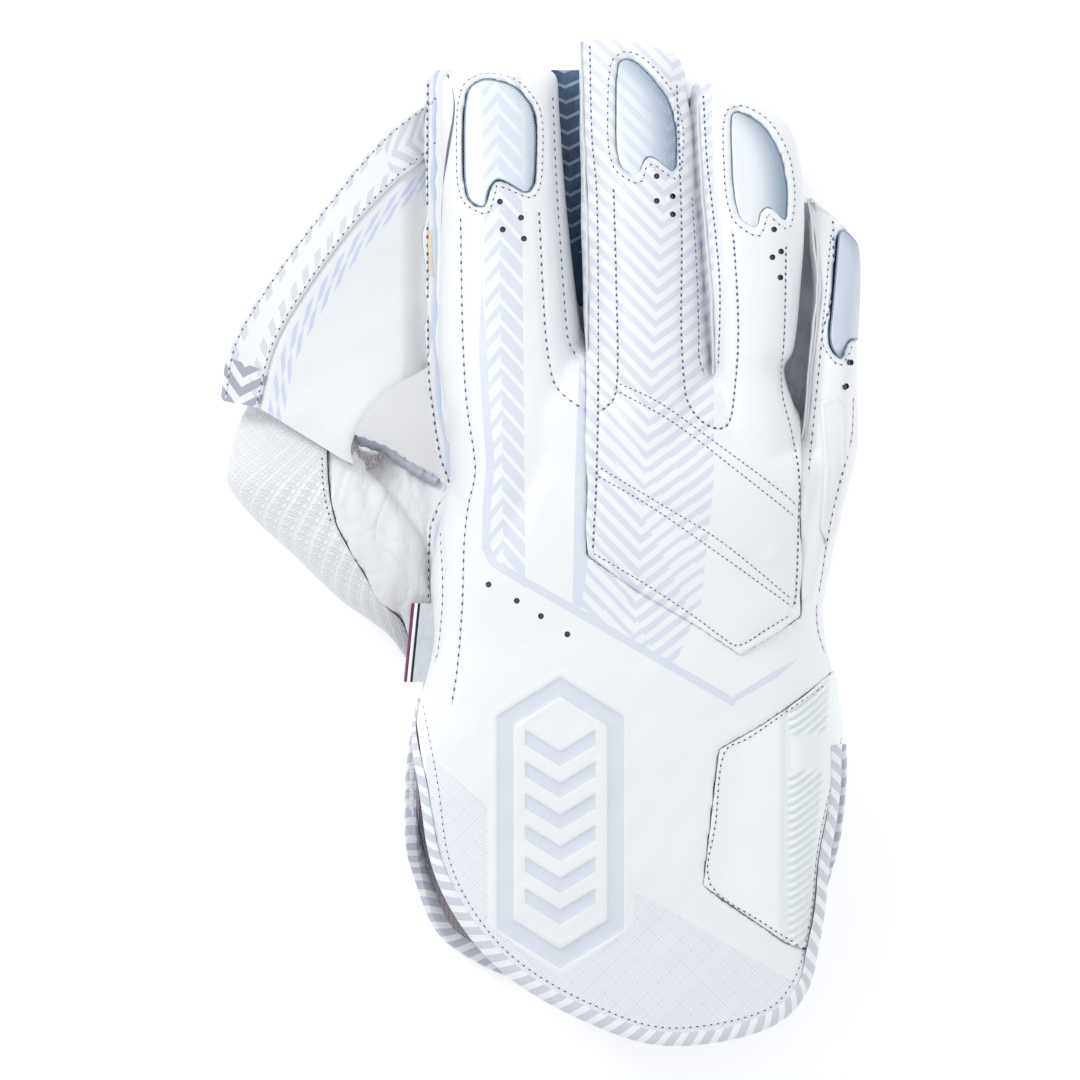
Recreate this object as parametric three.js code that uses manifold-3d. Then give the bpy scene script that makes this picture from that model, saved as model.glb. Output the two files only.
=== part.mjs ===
// Wicketkeeping glove for the right hand, lying palm down. Millimetres; +Y points to the
// fingertips, +X to the little finger's side and +Z out of the back of the hand. The origin
// lies under the middle of the glove, on the surface that it rests on.
import * as THREE from 'three';
import { mergeVertices } from 'three/addons/utils/BufferGeometryUtils.js';
import Module from 'manifold-3d';

const wasm = await Module();
wasm.setup();

// Driving dimensions
const GLOVE_LENGTH = 320; // hem of the cuff to the tip of the middle stall
const GLOVE_WIDTH = 204; // far edge of the web to the little finger's side
const BACK_HEIGHT = 62; // highest point of the back above the surface
const LEATHER = 2.4; // padded wall of the stalls, palm and back
const GAP = 0.3; // clearance between neighbouring pieces
const PANEL_RISE = 1.1; // how far the padded knuckle panel stands out
const GUARD_RISE = 0.9; // how far the moulded tip guards stand out
const INSERT_RISE = 0.5; // how far the ribbed side panel stands out
const BINDING_WIDTH = 5; // reach of the edge binding on to the cuff flaps
const BINDING_RISE = 0.9; // thickness of the binding tape
const BINDING_TURN = 1.4; // leather edge to the outside of the turned tape
const SEAM_THICKNESS = 5; // the layered raw edges beside the index stall
const WEB_THICKNESS = 2.4;
const BAND_THICKNESS = 4.6; // the folded band on the web's far edge
const CROTCH_RADIUS = 1.8; // the binding in the crotch of the thumb
const STRIP_RISE = 1.2; // the moulded strip on the little finger's side
const LINING = 1; // the knitted lining of the palm-side flap
const LINING_LENGTH = 82; // how far the lining reaches up from the cuff's hem
const TAB_LENGTH = 25;
const TAB_WIDTH = 11;
const TAB_HEIGHT = 4.4; // over the fold of the tape
const TAPE = 1; // thickness of the label tape
const PRESSED = 1.6; // how far the palm side is pressed flat where it rests

// Fineness of the faceted surfaces
const HAND_SIDES = { outside: 28, hollow: 20 };
const STALL_SIDES = { outside: 14, hollow: 10 };
const SEAM_SIDES = 8;
const HEM_STEPS = 18;

// Sections across the hand and the stalls, from the cuff upwards. y is a share of the glove's
// length, left and right are shares of its width, low and high of the back's height.
const HAND = [
  { y: -0.519, left: -0.205, right: 0.449, low: 0.048, high: 0.758 },
  { y: -0.457, left: -0.206, right: 0.446, low: 0.048, high: 0.806 },
  { y: -0.398, left: -0.206, right: 0.446, low: 0.032, high: 0.855 },
  { y: -0.338, left: -0.206, right: 0.457, low: 0, high: 0.903 },
  { y: -0.233, left: -0.206, right: 0.476, low: 0, high: 0.968 },
  { y: -0.153, left: -0.186, right: 0.465, low: 0, high: 1 },
  { y: -0.099, left: -0.169, right: 0.446, low: 0.032, high: 1 },
  { y: -0.033, left: -0.171, right: 0.442, low: 0.065, high: 1 },
  { y: 0.035, left: -0.15, right: 0.471, low: 0.097, high: 0.984 },
  { y: 0.07, left: -0.138, right: 0.481, low: 0.113, high: 0.95 },
  { y: 0.094, left: -0.141, right: 0.429, low: 0.113, high: 0.92 },
  { y: 0.129, left: -0.152, right: 0.392, low: 0.113, high: 0.871 },
  { y: 0.151, left: -0.108, right: 0.35, low: 0.129, high: 0.806 },
  { y: 0.173, left: -0.015, right: 0.172, low: 0.161, high: 0.71 },
  { y: 0.187, left: 0.048, right: 0.104, low: 0.226, high: 0.581 },
];
const INDEX = [
  { y: -0.02, left: -0.136, right: 0.079, low: 0.129, high: 0.903 },
  { y: 0.099, left: -0.143, right: 0.079, low: 0.113, high: 0.887 },
  { y: 0.175, left: -0.158, right: 0.072, low: 0.097, high: 0.806 },
  { y: 0.239, left: -0.158, right: 0.058, low: 0.081, high: 0.726 },
  { y: 0.338, left: -0.155, right: 0.041, low: 0.048, high: 0.597 },
  { y: 0.417, left: -0.155, right: 0.032, low: 0.016, high: 0.468 },
  { y: 0.452, left: -0.153, right: 0.029, low: 0, high: 0.371 },
  { y: 0.466, left: -0.149, right: 0.026, low: 0.016, high: 0.274 },
  { y: 0.472, left: -0.136, right: 0.013, low: 0.065, high: 0.194 },
];
const MIDDLE = [
  { y: -0.02, left: 0.069, right: 0.273, low: 0.129, high: 0.968 },
  { y: 0.099, left: 0.069, right: 0.272, low: 0.113, high: 0.935 },
  { y: 0.175, left: 0.074, right: 0.262, low: 0.097, high: 0.871 },
  { y: 0.288, left: 0.071, right: 0.247, low: 0.081, high: 0.742 },
  { y: 0.378, left: 0.069, right: 0.234, low: 0.048, high: 0.613 },
  { y: 0.437, left: 0.068, right: 0.225, low: 0.016, high: 0.5 },
  { y: 0.471, left: 0.068, right: 0.217, low: 0, high: 0.403 },
  { y: 0.485, left: 0.068, right: 0.191, low: 0, high: 0.339 },
  { y: 0.495, left: 0.069, right: 0.129, low: 0.032, high: 0.258 },
  { y: 0.5, left: 0.072, right: 0.085, low: 0.081, high: 0.177 },
];
const RING = [
  { y: -0.02, left: 0.25, right: 0.406, low: 0.129, high: 0.903 },
  { y: 0.099, left: 0.259, right: 0.401, low: 0.113, high: 0.871 },
  { y: 0.163, left: 0.267, right: 0.375, low: 0.097, high: 0.806 },
  { y: 0.186, left: 0.264, right: 0.39, low: 0.097, high: 0.79 },
  { y: 0.244, left: 0.256, right: 0.4, low: 0.081, high: 0.726 },
  { y: 0.311, left: 0.25, right: 0.407, low: 0.065, high: 0.629 },
  { y: 0.368, left: 0.245, right: 0.401, low: 0.032, high: 0.532 },
  { y: 0.406, left: 0.244, right: 0.386, low: 0, high: 0.435 },
  { y: 0.427, left: 0.244, right: 0.347, low: 0, high: 0.355 },
  { y: 0.441, left: 0.244, right: 0.297, low: 0.016, high: 0.274 },
  { y: 0.453, left: 0.247, right: 0.262, low: 0.081, high: 0.177 },
];
const LITTLE = [
  { y: -0.06, left: 0.359, right: 0.443, low: 0.097, high: 0.774 },
  { y: 0.02, left: 0.384, right: 0.468, low: 0.097, high: 0.774 },
  { y: 0.087, left: 0.401, right: 0.495, low: 0.081, high: 0.726 },
  { y: 0.139, left: 0.415, right: 0.496, low: 0.065, high: 0.677 },
  { y: 0.199, left: 0.421, right: 0.495, low: 0.048, high: 0.613 },
  { y: 0.254, left: 0.426, right: 0.499, low: 0.016, high: 0.516 },
  { y: 0.293, left: 0.42, right: 0.496, low: 0, high: 0.419 },
  { y: 0.316, left: 0.42, right: 0.474, low: 0, high: 0.339 },
  { y: 0.333, left: 0.42, right: 0.443, low: 0.016, high: 0.242 },
  { y: 0.343, left: 0.421, right: 0.429, low: 0.065, high: 0.161 },
];
const THUMB = [
  { y: -0.119, left: -0.21, right: -0.17, low: 0.032, high: 0.31 },
  { y: -0.092, left: -0.242, right: -0.17, low: 0.016, high: 0.37 },
  { y: -0.059, left: -0.314, right: -0.17, low: 0, high: 0.47 },
  { y: -0.015, left: -0.386, right: -0.18, low: 0, high: 0.548 },
  { y: 0.013, left: -0.435, right: -0.195, low: 0, high: 0.548 },
  { y: 0.038, left: -0.471, right: -0.224, low: 0, high: 0.548 },
  { y: 0.06, left: -0.491, right: -0.255, low: 0, high: 0.532 },
  { y: 0.087, left: -0.485, right: -0.28, low: 0, high: 0.5 },
  { y: 0.114, left: -0.473, right: -0.295, low: 0, high: 0.452 },
  { y: 0.135, left: -0.457, right: -0.314, low: 0.016, high: 0.371 },
  { y: 0.147, left: -0.432, right: -0.345, low: 0.081, high: 0.258 },
];
const GUSSET = [
  { y: -0.119, left: -0.196, right: -0.108, low: 0.048, high: 0.33 },
  { y: -0.06, left: -0.264, right: -0.108, low: 0.032, high: 0.355 },
  { y: 0, left: -0.295, right: -0.108, low: 0.032, high: 0.35 },
  { y: 0.044, left: -0.311, right: -0.108, low: 0.032, high: 0.339 },
  { y: 0.064, left: -0.319, right: -0.155, low: 0.048, high: 0.306 },
  { y: 0.078, left: -0.319, right: -0.202, low: 0.065, high: 0.274 },
  { y: 0.089, left: -0.311, right: -0.241, low: 0.097, high: 0.226 },
];

// Height of the side seam between back and palm: z is a share of the back's height.
const SEAM = [
  { y: -0.56, z: 0.355 },
  { y: 0.099, z: 0.355 },
  { y: 0.239, z: 0.323 },
  { y: 0.338, z: 0.258 },
  { y: 0.417, z: 0.194 },
  { y: 0.477, z: 0.129 },
  { y: 0.56, z: 0.113 },
];
// Sections of the layered seam that stands out beside the index stall.
const INDEX_SEAM = [
  { y: -0.064, left: -0.178, right: -0.146 },
  { y: -0.031, left: -0.178, right: -0.146 },
  { y: 0.01, left: -0.175, right: -0.139 },
  { y: 0.035, left: -0.161, right: -0.127 },
  { y: 0.055, left: -0.146, right: -0.114 },
  { y: 0.084, left: -0.16, right: -0.124 },
  { y: 0.129, left: -0.171, right: -0.136 },
  { y: 0.175, left: -0.178, right: -0.139 },
  { y: 0.307, left: -0.18, right: -0.139 },
  { y: 0.45, left: -0.18, right: -0.139 },
  { y: 0.471, left: -0.174, right: -0.139 },
];

// Edges of the web, from the index stall to the thumb: x is a share of the glove's width,
// y of its length and z of the back's height.
const WEB_FREE_EDGE = [
  { x: -0.17, y: 0.175, z: 0.371 },
  { x: -0.224, y: 0.154, z: 0.452 },
  { x: -0.258, y: 0.136, z: 0.51 },
  { x: -0.283, y: 0.113, z: 0.55 },
  { x: -0.295, y: 0.091, z: 0.558 },
  { x: -0.29, y: 0.074, z: 0.536 },
];
const BAND_INNER_EDGE = [
  { x: -0.165, y: 0.392, z: 0.242 },
  { x: -0.236, y: 0.35, z: 0.339 },
  { x: -0.297, y: 0.307, z: 0.419 },
  { x: -0.361, y: 0.25, z: 0.484 },
  { x: -0.41, y: 0.195, z: 0.52 },
  { x: -0.437, y: 0.131, z: 0.515 },
];
const BAND_OUTER_EDGE = [
  { x: -0.165, y: 0.449, z: 0.177 },
  { x: -0.25, y: 0.403, z: 0.274 },
  { x: -0.333, y: 0.338, z: 0.371 },
  { x: -0.417, y: 0.266, z: 0.452 },
  { x: -0.481, y: 0.198, z: 0.485 },
  { x: -0.498, y: 0.139, z: 0.47 },
];
// Path of the binding in the crotch of the thumb.
const CROTCH = [
  { x: -0.286, y: 0.1, z: 0.26 },
  { x: -0.242, y: 0.089, z: 0.29 },
  { x: -0.203, y: 0.073, z: 0.32 },
  { x: -0.16, y: 0.058, z: 0.345 },
];

// Outlines seen from above: x is a share of the glove's width, y of its length.
const BACK_HEM = [
  { x: -0.217, y: -0.149 },
  { x: -0.189, y: -0.239 },
  { x: -0.169, y: -0.321 },
  { x: -0.119, y: -0.384 },
  { x: -0.044, y: -0.434 },
  { x: 0.072, y: -0.476 },
  { x: 0.197, y: -0.5 },
  { x: 0.353, y: -0.484 },
  { x: 0.42, y: -0.444 },
  { x: 0.449, y: -0.378 },
  { x: 0.462, y: -0.301 },
  { x: 0.499, y: -0.199 },
];
const PALM_HEM = [
  { x: -0.233, y: -0.149 },
  { x: -0.214, y: -0.29 },
  { x: -0.171, y: -0.386 },
  { x: -0.11, y: -0.421 },
  { x: -0.029, y: -0.444 },
  { x: 0.094, y: -0.463 },
  { x: 0.234, y: -0.471 },
  { x: 0.343, y: -0.457 },
  { x: 0.406, y: -0.429 },
  { x: 0.434, y: -0.388 },
  { x: 0.471, y: -0.288 },
  { x: 0.499, y: -0.199 },
];
const KNUCKLE_PANEL = [
  { x: 0.054, y: 0.53 },
  { x: 0.054, y: 0.437 },
  { x: 0.058, y: 0.338 },
  { x: 0.066, y: 0.239 },
  { x: 0.074, y: 0.185 },
  { x: 0.074, y: -0.016 },
  { x: 0.308, y: -0.112 },
  { x: 0.403, y: -0.075 },
  { x: 0.401, y: 0.099 },
  { x: 0.409, y: 0.186 },
  { x: 0.414, y: 0.239 },
  { x: 0.414, y: 0.53 },
];
const SIDE_PANEL = [
  { x: 0.276, y: -0.206 },
  { x: 0.345, y: -0.181 },
  { x: 0.431, y: -0.143 },
  { x: 0.54, y: -0.09 },
  { x: 0.54, y: -0.31 },
  { x: 0.44, y: -0.37 },
  { x: 0.415, y: -0.405 },
  { x: 0.381, y: -0.398 },
  { x: 0.252, y: -0.34 },
];
const TIP_GUARDS = {
  index: [
    { x: -0.119, y: 0.425 },
    { x: -0.112, y: 0.452 },
    { x: -0.085, y: 0.461 },
    { x: -0.038, y: 0.453 },
    { x: -0.005, y: 0.425 },
    { x: -0.009, y: 0.337 },
    { x: -0.065, y: 0.36 },
    { x: -0.08, y: 0.348 },
    { x: -0.085, y: 0.326 },
    { x: -0.118, y: 0.339 },
  ],
  middle: [
    { x: 0.118, y: 0.473 },
    { x: 0.132, y: 0.481 },
    { x: 0.152, y: 0.476 },
    { x: 0.175, y: 0.461 },
    { x: 0.203, y: 0.437 },
    { x: 0.214, y: 0.403 },
    { x: 0.211, y: 0.358 },
    { x: 0.167, y: 0.384 },
    { x: 0.152, y: 0.355 },
    { x: 0.116, y: 0.371 },
  ],
  ring: [
    { x: 0.295, y: 0.425 },
    { x: 0.312, y: 0.428 },
    { x: 0.35, y: 0.414 },
    { x: 0.378, y: 0.383 },
    { x: 0.387, y: 0.343 },
    { x: 0.382, y: 0.309 },
    { x: 0.357, y: 0.33 },
    { x: 0.343, y: 0.325 },
    { x: 0.339, y: 0.303 },
    { x: 0.301, y: 0.321 },
  ],
  little: [
    { x: 0.467, y: 0.31 },
    { x: 0.484, y: 0.307 },
    { x: 0.52, y: 0.278 },
    { x: 0.52, y: 0.193 },
    { x: 0.484, y: 0.201 },
    { x: 0.474, y: 0.192 },
    { x: 0.467, y: 0.176 },
    { x: 0.448, y: 0.195 },
    { x: 0.456, y: 0.237 },
    { x: 0.462, y: 0.277 },
  ],
};
const SIDE_STRIP = [
  { x: 0.432, y: 0.137 },
  { x: 0.459, y: 0.143 },
  { x: 0.474, y: 0.129 },
  { x: 0.477, y: 0.07 },
  { x: 0.465, y: 0.01 },
  { x: 0.446, y: -0.006 },
  { x: 0.434, y: 0.01 },
  { x: 0.44, y: 0.07 },
];
// The seam between the thumb's rubber face, at its left, and its plain leather.
const THUMB_SEAM = [
  { x: -0.328, y: 0.2 },
  { x: -0.332, y: 0.081 },
  { x: -0.322, y: 0.026 },
  { x: -0.303, y: -0.003 },
  { x: -0.247, y: -0.061 },
  { x: -0.211, y: -0.087 },
  { x: -0.19, y: -0.15 },
];
const LABEL_PLACE = { x: -0.16, y: -0.102, z: 0.48 };

const BEYOND = 400; // past the glove on every side
const WALL_FULLNESS = 2.5; // exponent of the rounded sections, 2 is an ellipse
const FLOOR_FULLNESS = 4; // the same for the flatter palm side
const MOUTH_OVERRUN = 12; // the hollow's run past the hem
const NARROWEST = 1; // width of a hollow's last section

// Solids

function solid(geometry) {
  geometry.deleteAttribute('normal');
  geometry.deleteAttribute('uv');
  const merged = mergeVertices(geometry, 1e-4);
  return new wasm.Manifold(new wasm.Mesh({
    numProp: 3,
    vertProperties: new Float32Array(merged.attributes.position.array),
    triVerts: new Uint32Array(merged.index.array),
  }));
}

function union(solids) {
  return solids.reduce((joined, next) => joined.add(next));
}

// A closed solid through rings of points, each with as many points, its ends closed by fans.
function loft(rings) {
  const sides = rings[0].length;
  const points = rings.flat();
  const faces = [];
  rings.slice(1).forEach((_, row) => {
    for (let side = 0; side < sides; side += 1) {
      const a = row * sides + side;
      const b = row * sides + ((side + 1) % sides);
      faces.push(a, b + sides, b, a, a + sides, b + sides);
    }
  });
  [rings[0], rings.at(-1)].forEach((ring, end) => {
    const middle = ring.reduce((sum, p) => sum.add(p), new THREE.Vector3()).divideScalar(sides);
    const first = end * (rings.length - 1) * sides;
    for (let side = 0; side < sides; side += 1) {
      const pair = [first + side, first + ((side + 1) % sides)];
      if (end === 1) pair.reverse();
      faces.push(...pair, points.length);
    }
    points.push(middle);
  });
  const geometry = new THREE.BufferGeometry().setFromPoints(points);
  geometry.setIndex(faces);
  return solid(geometry);
}

function signedPower(value, exponent) {
  return Math.sign(value) * Math.abs(value) ** exponent;
}

// Straight-line value of a table's column at a height y of the glove.
function between(rows, column, y) {
  const next = Math.max(1, rows.findIndex((row) => row.y >= y));
  const [before, after] = [rows[next - 1], rows[next]];
  return THREE.MathUtils.mapLinear(y, before.y, after.y, before[column], after[column]);
}

function seamHeight(y) {
  return BACK_HEIGHT * between(SEAM, 'z', y / GLOVE_LENGTH);
}

// One rounded section across the glove, widest at the height of the side seam, and flat where
// it would pass below the surface. A negative growth gives the hollow inside a wall.
function section(row, growth, fineness, shift) {
  const sides = growth < 0 ? fineness.hollow : fineness.outside;
  const y = GLOVE_LENGTH * row.y + shift;
  const centre = GLOVE_WIDTH * (row.left + row.right) / 2;
  const half = Math.max(NARROWEST / 2, GLOVE_WIDTH * (row.right - row.left) / 2 + growth);
  const floor = Math.max(0, -growth);
  const low = BACK_HEIGHT * row.low - growth - PRESSED;
  const high = Math.max(floor + NARROWEST, BACK_HEIGHT * row.high + growth);
  const widest = THREE.MathUtils.clamp(seamHeight(GLOVE_LENGTH * row.y), floor, high);
  return Array.from({ length: sides }, (_, side) => {
    const turn = 2 * Math.PI * side / sides;
    const rise = Math.sin(turn);
    const fullness = rise < 0 ? FLOOR_FULLNESS : WALL_FULLNESS;
    const reach = rise < 0 ? widest - low : high - widest;
    return new THREE.Vector3(
      centre + half * signedPower(Math.cos(turn), 2 / WALL_FULLNESS),
      y,
      Math.max(floor, widest + reach * signedPower(rise, 2 / fullness)),
    );
  });
}

// A stall closed at its tip: the tip grows and shrinks with the wall.
function stall(rows, growth) {
  return loft(rows.map((row) => section(row, growth, STALL_SIDES, row.y > rows[0].y ? growth : 0)));
}

function palmBody(growth) {
  const mouth = growth < 0 ? -MOUTH_OVERRUN : 0;
  return loft(HAND.map((row, place) => section(row, growth, HAND_SIDES, place ? growth : mouth)));
}

function handForm(growth) {
  return union([palmBody(growth), ...[INDEX, MIDDLE, RING, LITTLE].map((rows) => stall(rows, growth))]);
}

function thumbForm(growth) {
  return union([stall(THUMB, growth), stall(GUSSET, growth)]);
}

function placed(rows) {
  return rows.map((row) => new THREE.Vector2(GLOVE_WIDTH * row.x, GLOVE_LENGTH * row.y));
}

// Moves each point of an outline to its left-hand side by a distance.
function offset(points, distance, closed) {
  return points.map((point, place) => {
    const last = points.length - 1;
    const before = points[place ? place - 1 : (closed ? last : 0)];
    const after = points[place < last ? place + 1 : (closed ? 0 : last)];
    const along = after.clone().sub(before).normalize();
    return point.clone().add(new THREE.Vector2(-along.y, along.x).multiplyScalar(distance));
  });
}

// Everything above and below an outline drawn on the surface.
function column(points) {
  const geometry = new THREE.ExtrudeGeometry(new THREE.Shape(points), {
    depth: BEYOND,
    bevelEnabled: false,
  });
  geometry.translate(0, 0, -BEYOND / 2);
  return solid(geometry);
}

// An outline that goes round anticlockwise grows by a distance.
function insert(rows, growth) {
  const points = placed(rows);
  const clockwise = THREE.ShapeUtils.isClockWise(points);
  return column(offset(points, clockwise ? growth : -growth, true));
}

// What lies past a hem, when the hem is moved inwards by a distance.
function pastHem(rows, inset) {
  const hem = offset(new THREE.SplineCurve(placed(rows)).getPoints(HEM_STEPS), inset, false);
  return column([
    ...hem,
    new THREE.Vector2(BEYOND, hem.at(-1).y),
    new THREE.Vector2(BEYOND, -BEYOND),
    new THREE.Vector2(-BEYOND, -BEYOND),
    new THREE.Vector2(-BEYOND, hem[0].y),
  ]);
}

// Everything below the side seam, when the seam is raised by a distance.
function belowSeam(raise) {
  const shape = new THREE.Shape([
    new THREE.Vector2(GLOVE_LENGTH * SEAM[0].y, -BEYOND),
    new THREE.Vector2(GLOVE_LENGTH * SEAM.at(-1).y, -BEYOND),
    ...SEAM.map((row) => new THREE.Vector2(GLOVE_LENGTH * row.y, BACK_HEIGHT * row.z + raise)).reverse(),
  ]);
  const geometry = new THREE.ExtrudeGeometry(shape, { depth: 2 * BEYOND, bevelEnabled: false });
  geometry.translate(0, 0, -BEYOND);
  geometry.applyMatrix4(new THREE.Matrix4().makeBasis(
    new THREE.Vector3(0, 1, 0),
    new THREE.Vector3(0, 0, 1),
    new THREE.Vector3(1, 0, 0),
  ));
  return solid(geometry);
}

function edgeCurve(rows) {
  return new THREE.CatmullRomCurve3(rows.map((row) => new THREE.Vector3(
    GLOVE_WIDTH * row.x,
    GLOVE_LENGTH * row.y,
    BACK_HEIGHT * row.z,
  )));
}

// A sheet of one thickness between two edges. Its margin widens it past the first edge.
function sheet(first, second, thickness, margin, steps) {
  const [near, far] = [edgeCurve(first), edgeCurve(second)];
  const at = (along, across) => near.getPoint(along).lerp(far.getPoint(along), across);
  const rings = Array.from({ length: steps.along + 1 }, (_, place) => {
    const along = place / steps.along;
    const width = near.getPoint(along).distanceTo(far.getPoint(along));
    const before = Math.max(0, along - 0.02);
    const after = Math.min(1, along + 0.02);
    const line = Array.from({ length: steps.across + 1 }, (__, step) => {
      const across = THREE.MathUtils.lerp(-margin / width, 1, step / steps.across);
      const point = at(along, across);
      const lengthways = at(after, across).sub(at(before, across));
      const normal = lengthways.cross(far.getPoint(along).sub(near.getPoint(along))).normalize();
      return { point, normal: normal.multiplyScalar(thickness / 2) };
    });
    const top = line.map(({ point, normal }) => point.clone().add(normal));
    const bottom = line.map(({ point, normal }) => point.clone().sub(normal)).reverse();
    return [...top, ...bottom];
  });
  const body = loft(rings);
  return body.volume() > 0 ? body : loft(rings.reverse());
}

// The shells of the hand and the thumb
const hand = handForm(0);
const hollow = union([handForm(-LEATHER), thumbForm(-LEATHER)]);
const handShell = hand.subtract(hollow);
const clearOfHand = handForm(GAP);
const back = belowSeam(GAP / 2);
const palm = belowSeam(-GAP / 2);

// The layered seam beside the index stall
function indexSeam(growth) {
  const half = SEAM_THICKNESS / 2 + growth;
  return loft(INDEX_SEAM.map((row, place) => {
    const ends = { 0: -growth, [INDEX_SEAM.length - 1]: growth };
    const y = GLOVE_LENGTH * row.y + (ends[place] ?? 0);
    const left = GLOVE_WIDTH * row.left - growth;
    const right = GLOVE_WIDTH * row.right;
    return Array.from({ length: SEAM_SIDES }, (_, side) => {
      const turn = 2 * Math.PI * (side + 0.5) / SEAM_SIDES;
      return new THREE.Vector3(
        (left + right) / 2 + (right - left) / 2 * signedPower(Math.cos(turn), 0.5),
        y,
        seamHeight(GLOVE_LENGTH * row.y) + half * signedPower(Math.sin(turn), 0.6),
      );
    });
  }));
}
const seam = indexSeam(0).subtract(clearOfHand);
const clearOfSeam = indexSeam(GAP);

// The thumb, sewn to the side of the hand under the layered seam
const thumbOutline = [...placed(THUMB_SEAM), new THREE.Vector2(-BEYOND, -BEYOND), new THREE.Vector2(-BEYOND, BEYOND)];
const thumbShell = thumbForm(0).subtract(hollow).subtract(clearOfHand).subtract(clearOfSeam);
const thumbFace = thumbShell.intersect(column(thumbOutline));
const thumbBack = thumbShell.subtract(column(offset(thumbOutline, GAP, true)));
const clearOfThumb = thumbForm(GAP);

// The web and its band
const WEB_STEPS = { along: 10, across: 6 };
const BAND_STEPS = { along: 14, across: 2 };
const clearOfSides = union([clearOfHand, clearOfSeam, clearOfThumb]);
const band = sheet(BAND_INNER_EDGE, BAND_OUTER_EDGE, BAND_THICKNESS, 0, BAND_STEPS)
  .subtract(clearOfSides);
const clearOfBand = sheet(BAND_INNER_EDGE, BAND_OUTER_EDGE, BAND_THICKNESS + 2 * GAP, GAP, BAND_STEPS);
const web = sheet(WEB_FREE_EDGE, BAND_INNER_EDGE, WEB_THICKNESS, 0, WEB_STEPS)
  .subtract(clearOfSides)
  .subtract(clearOfBand);

// The binding in the crotch of the thumb
const crotchPath = edgeCurve(CROTCH);
const crotchSection = new THREE.Shape();
crotchSection.absarc(0, 0, CROTCH_RADIUS, 0, 2 * Math.PI);
const crotch = solid(new THREE.ExtrudeGeometry(crotchSection, {
  extrudePath: crotchPath,
  steps: 8,
  curveSegments: 5,
  bevelEnabled: false,
})).subtract(clearOfSides);

// The two cuff flaps, each with a tape folded round its edge
function flapEdge(hem, half) {
  const tape = handForm(BINDING_RISE).subtract(handForm(-LEATHER - BINDING_RISE));
  const edge = handForm(GAP).subtract(handForm(-LEATHER - GAP)).subtract(pastHem(hem, BINDING_TURN - GAP));
  return half(tape.intersect(pastHem(hem, BINDING_WIDTH)).subtract(pastHem(hem, 0)).subtract(edge));
}
const upper = (form) => form.subtract(back);
const lower = (form) => form.intersect(palm);
const backBinding = flapEdge(BACK_HEM, upper);
const palmBinding = flapEdge(PALM_HEM, lower).subtract(clearOfThumb);

// The panels of the back, and what is let into them
function letIn(rows, rise) {
  return upper(handForm(rise).subtract(hollow).intersect(insert(rows, 0)));
}
const guardNames = Object.keys(TIP_GUARDS);
const guards = guardNames.map((name) => letIn(TIP_GUARDS[name], GUARD_RISE));
const guardHoles = union(guardNames.map((name) => insert(TIP_GUARDS[name], GAP)));
const clearOfBackHem = pastHem(BACK_HEM, BINDING_WIDTH + GAP);
const sidePanel = letIn(SIDE_PANEL, INSERT_RISE).subtract(clearOfBackHem);
const sideHole = insert(SIDE_PANEL, GAP).subtract(clearOfBackHem.subtract(pastHem(BACK_HEM, BINDING_TURN)));
const knucklePanel = letIn(KNUCKLE_PANEL, PANEL_RISE).subtract(guardHoles);
const backPanel = upper(handShell)
  .subtract(insert(KNUCKLE_PANEL, GAP))
  .subtract(guardHoles)
  .subtract(sideHole)
  .subtract(pastHem(BACK_HEM, BINDING_TURN));
const palmPanel = lower(handShell).subtract(pastHem(PALM_HEM, BINDING_TURN));

// The moulded strip on the little finger's side
const sideStrip = upper(handForm(GAP + STRIP_RISE).subtract(clearOfHand).intersect(insert(SIDE_STRIP, 0)));

// The knitted lining inside the palm-side flap
const liningEnd = LINING_LENGTH - GLOVE_LENGTH / 2;
const liningArea = column([
  new THREE.Vector2(-BEYOND, -BEYOND),
  new THREE.Vector2(BEYOND, -BEYOND),
  new THREE.Vector2(BEYOND, liningEnd),
  new THREE.Vector2(-BEYOND, liningEnd),
]);
const lining = lower(palmBody(-LEATHER - GAP).subtract(palmBody(-LEATHER - GAP - LINING)))
  .intersect(liningArea)
  .subtract(pastHem(PALM_HEM, BINDING_WIDTH + GAP));

// The label: tape folded to a flat loop, its open side in the seam
function labelTab() {
  const loop = new THREE.Shape();
  const radius = TAB_HEIGHT / 2;
  loop.moveTo(0, radius);
  loop.lineTo(radius - TAB_WIDTH, radius);
  loop.absarc(radius - TAB_WIDTH, 0, radius, Math.PI / 2, 3 * Math.PI / 2);
  loop.lineTo(0, -radius);
  const fold = new THREE.Path();
  fold.moveTo(-TAPE, radius - TAPE);
  fold.lineTo(radius - TAB_WIDTH, radius - TAPE);
  fold.absarc(radius - TAB_WIDTH, 0, radius - TAPE, Math.PI / 2, 3 * Math.PI / 2);
  fold.lineTo(-TAPE, TAPE - radius);
  loop.holes.push(fold);
  const geometry = new THREE.ExtrudeGeometry(loop, {
    depth: TAB_LENGTH,
    curveSegments: 4,
    bevelEnabled: false,
  });
  geometry.rotateX(Math.PI / 2);
  geometry.translate(
    GLOVE_WIDTH * LABEL_PLACE.x,
    GLOVE_LENGTH * LABEL_PLACE.y + TAB_LENGTH / 2,
    BACK_HEIGHT * LABEL_PLACE.z,
  );
  return solid(geometry).subtract(clearOfSides);
}

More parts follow.
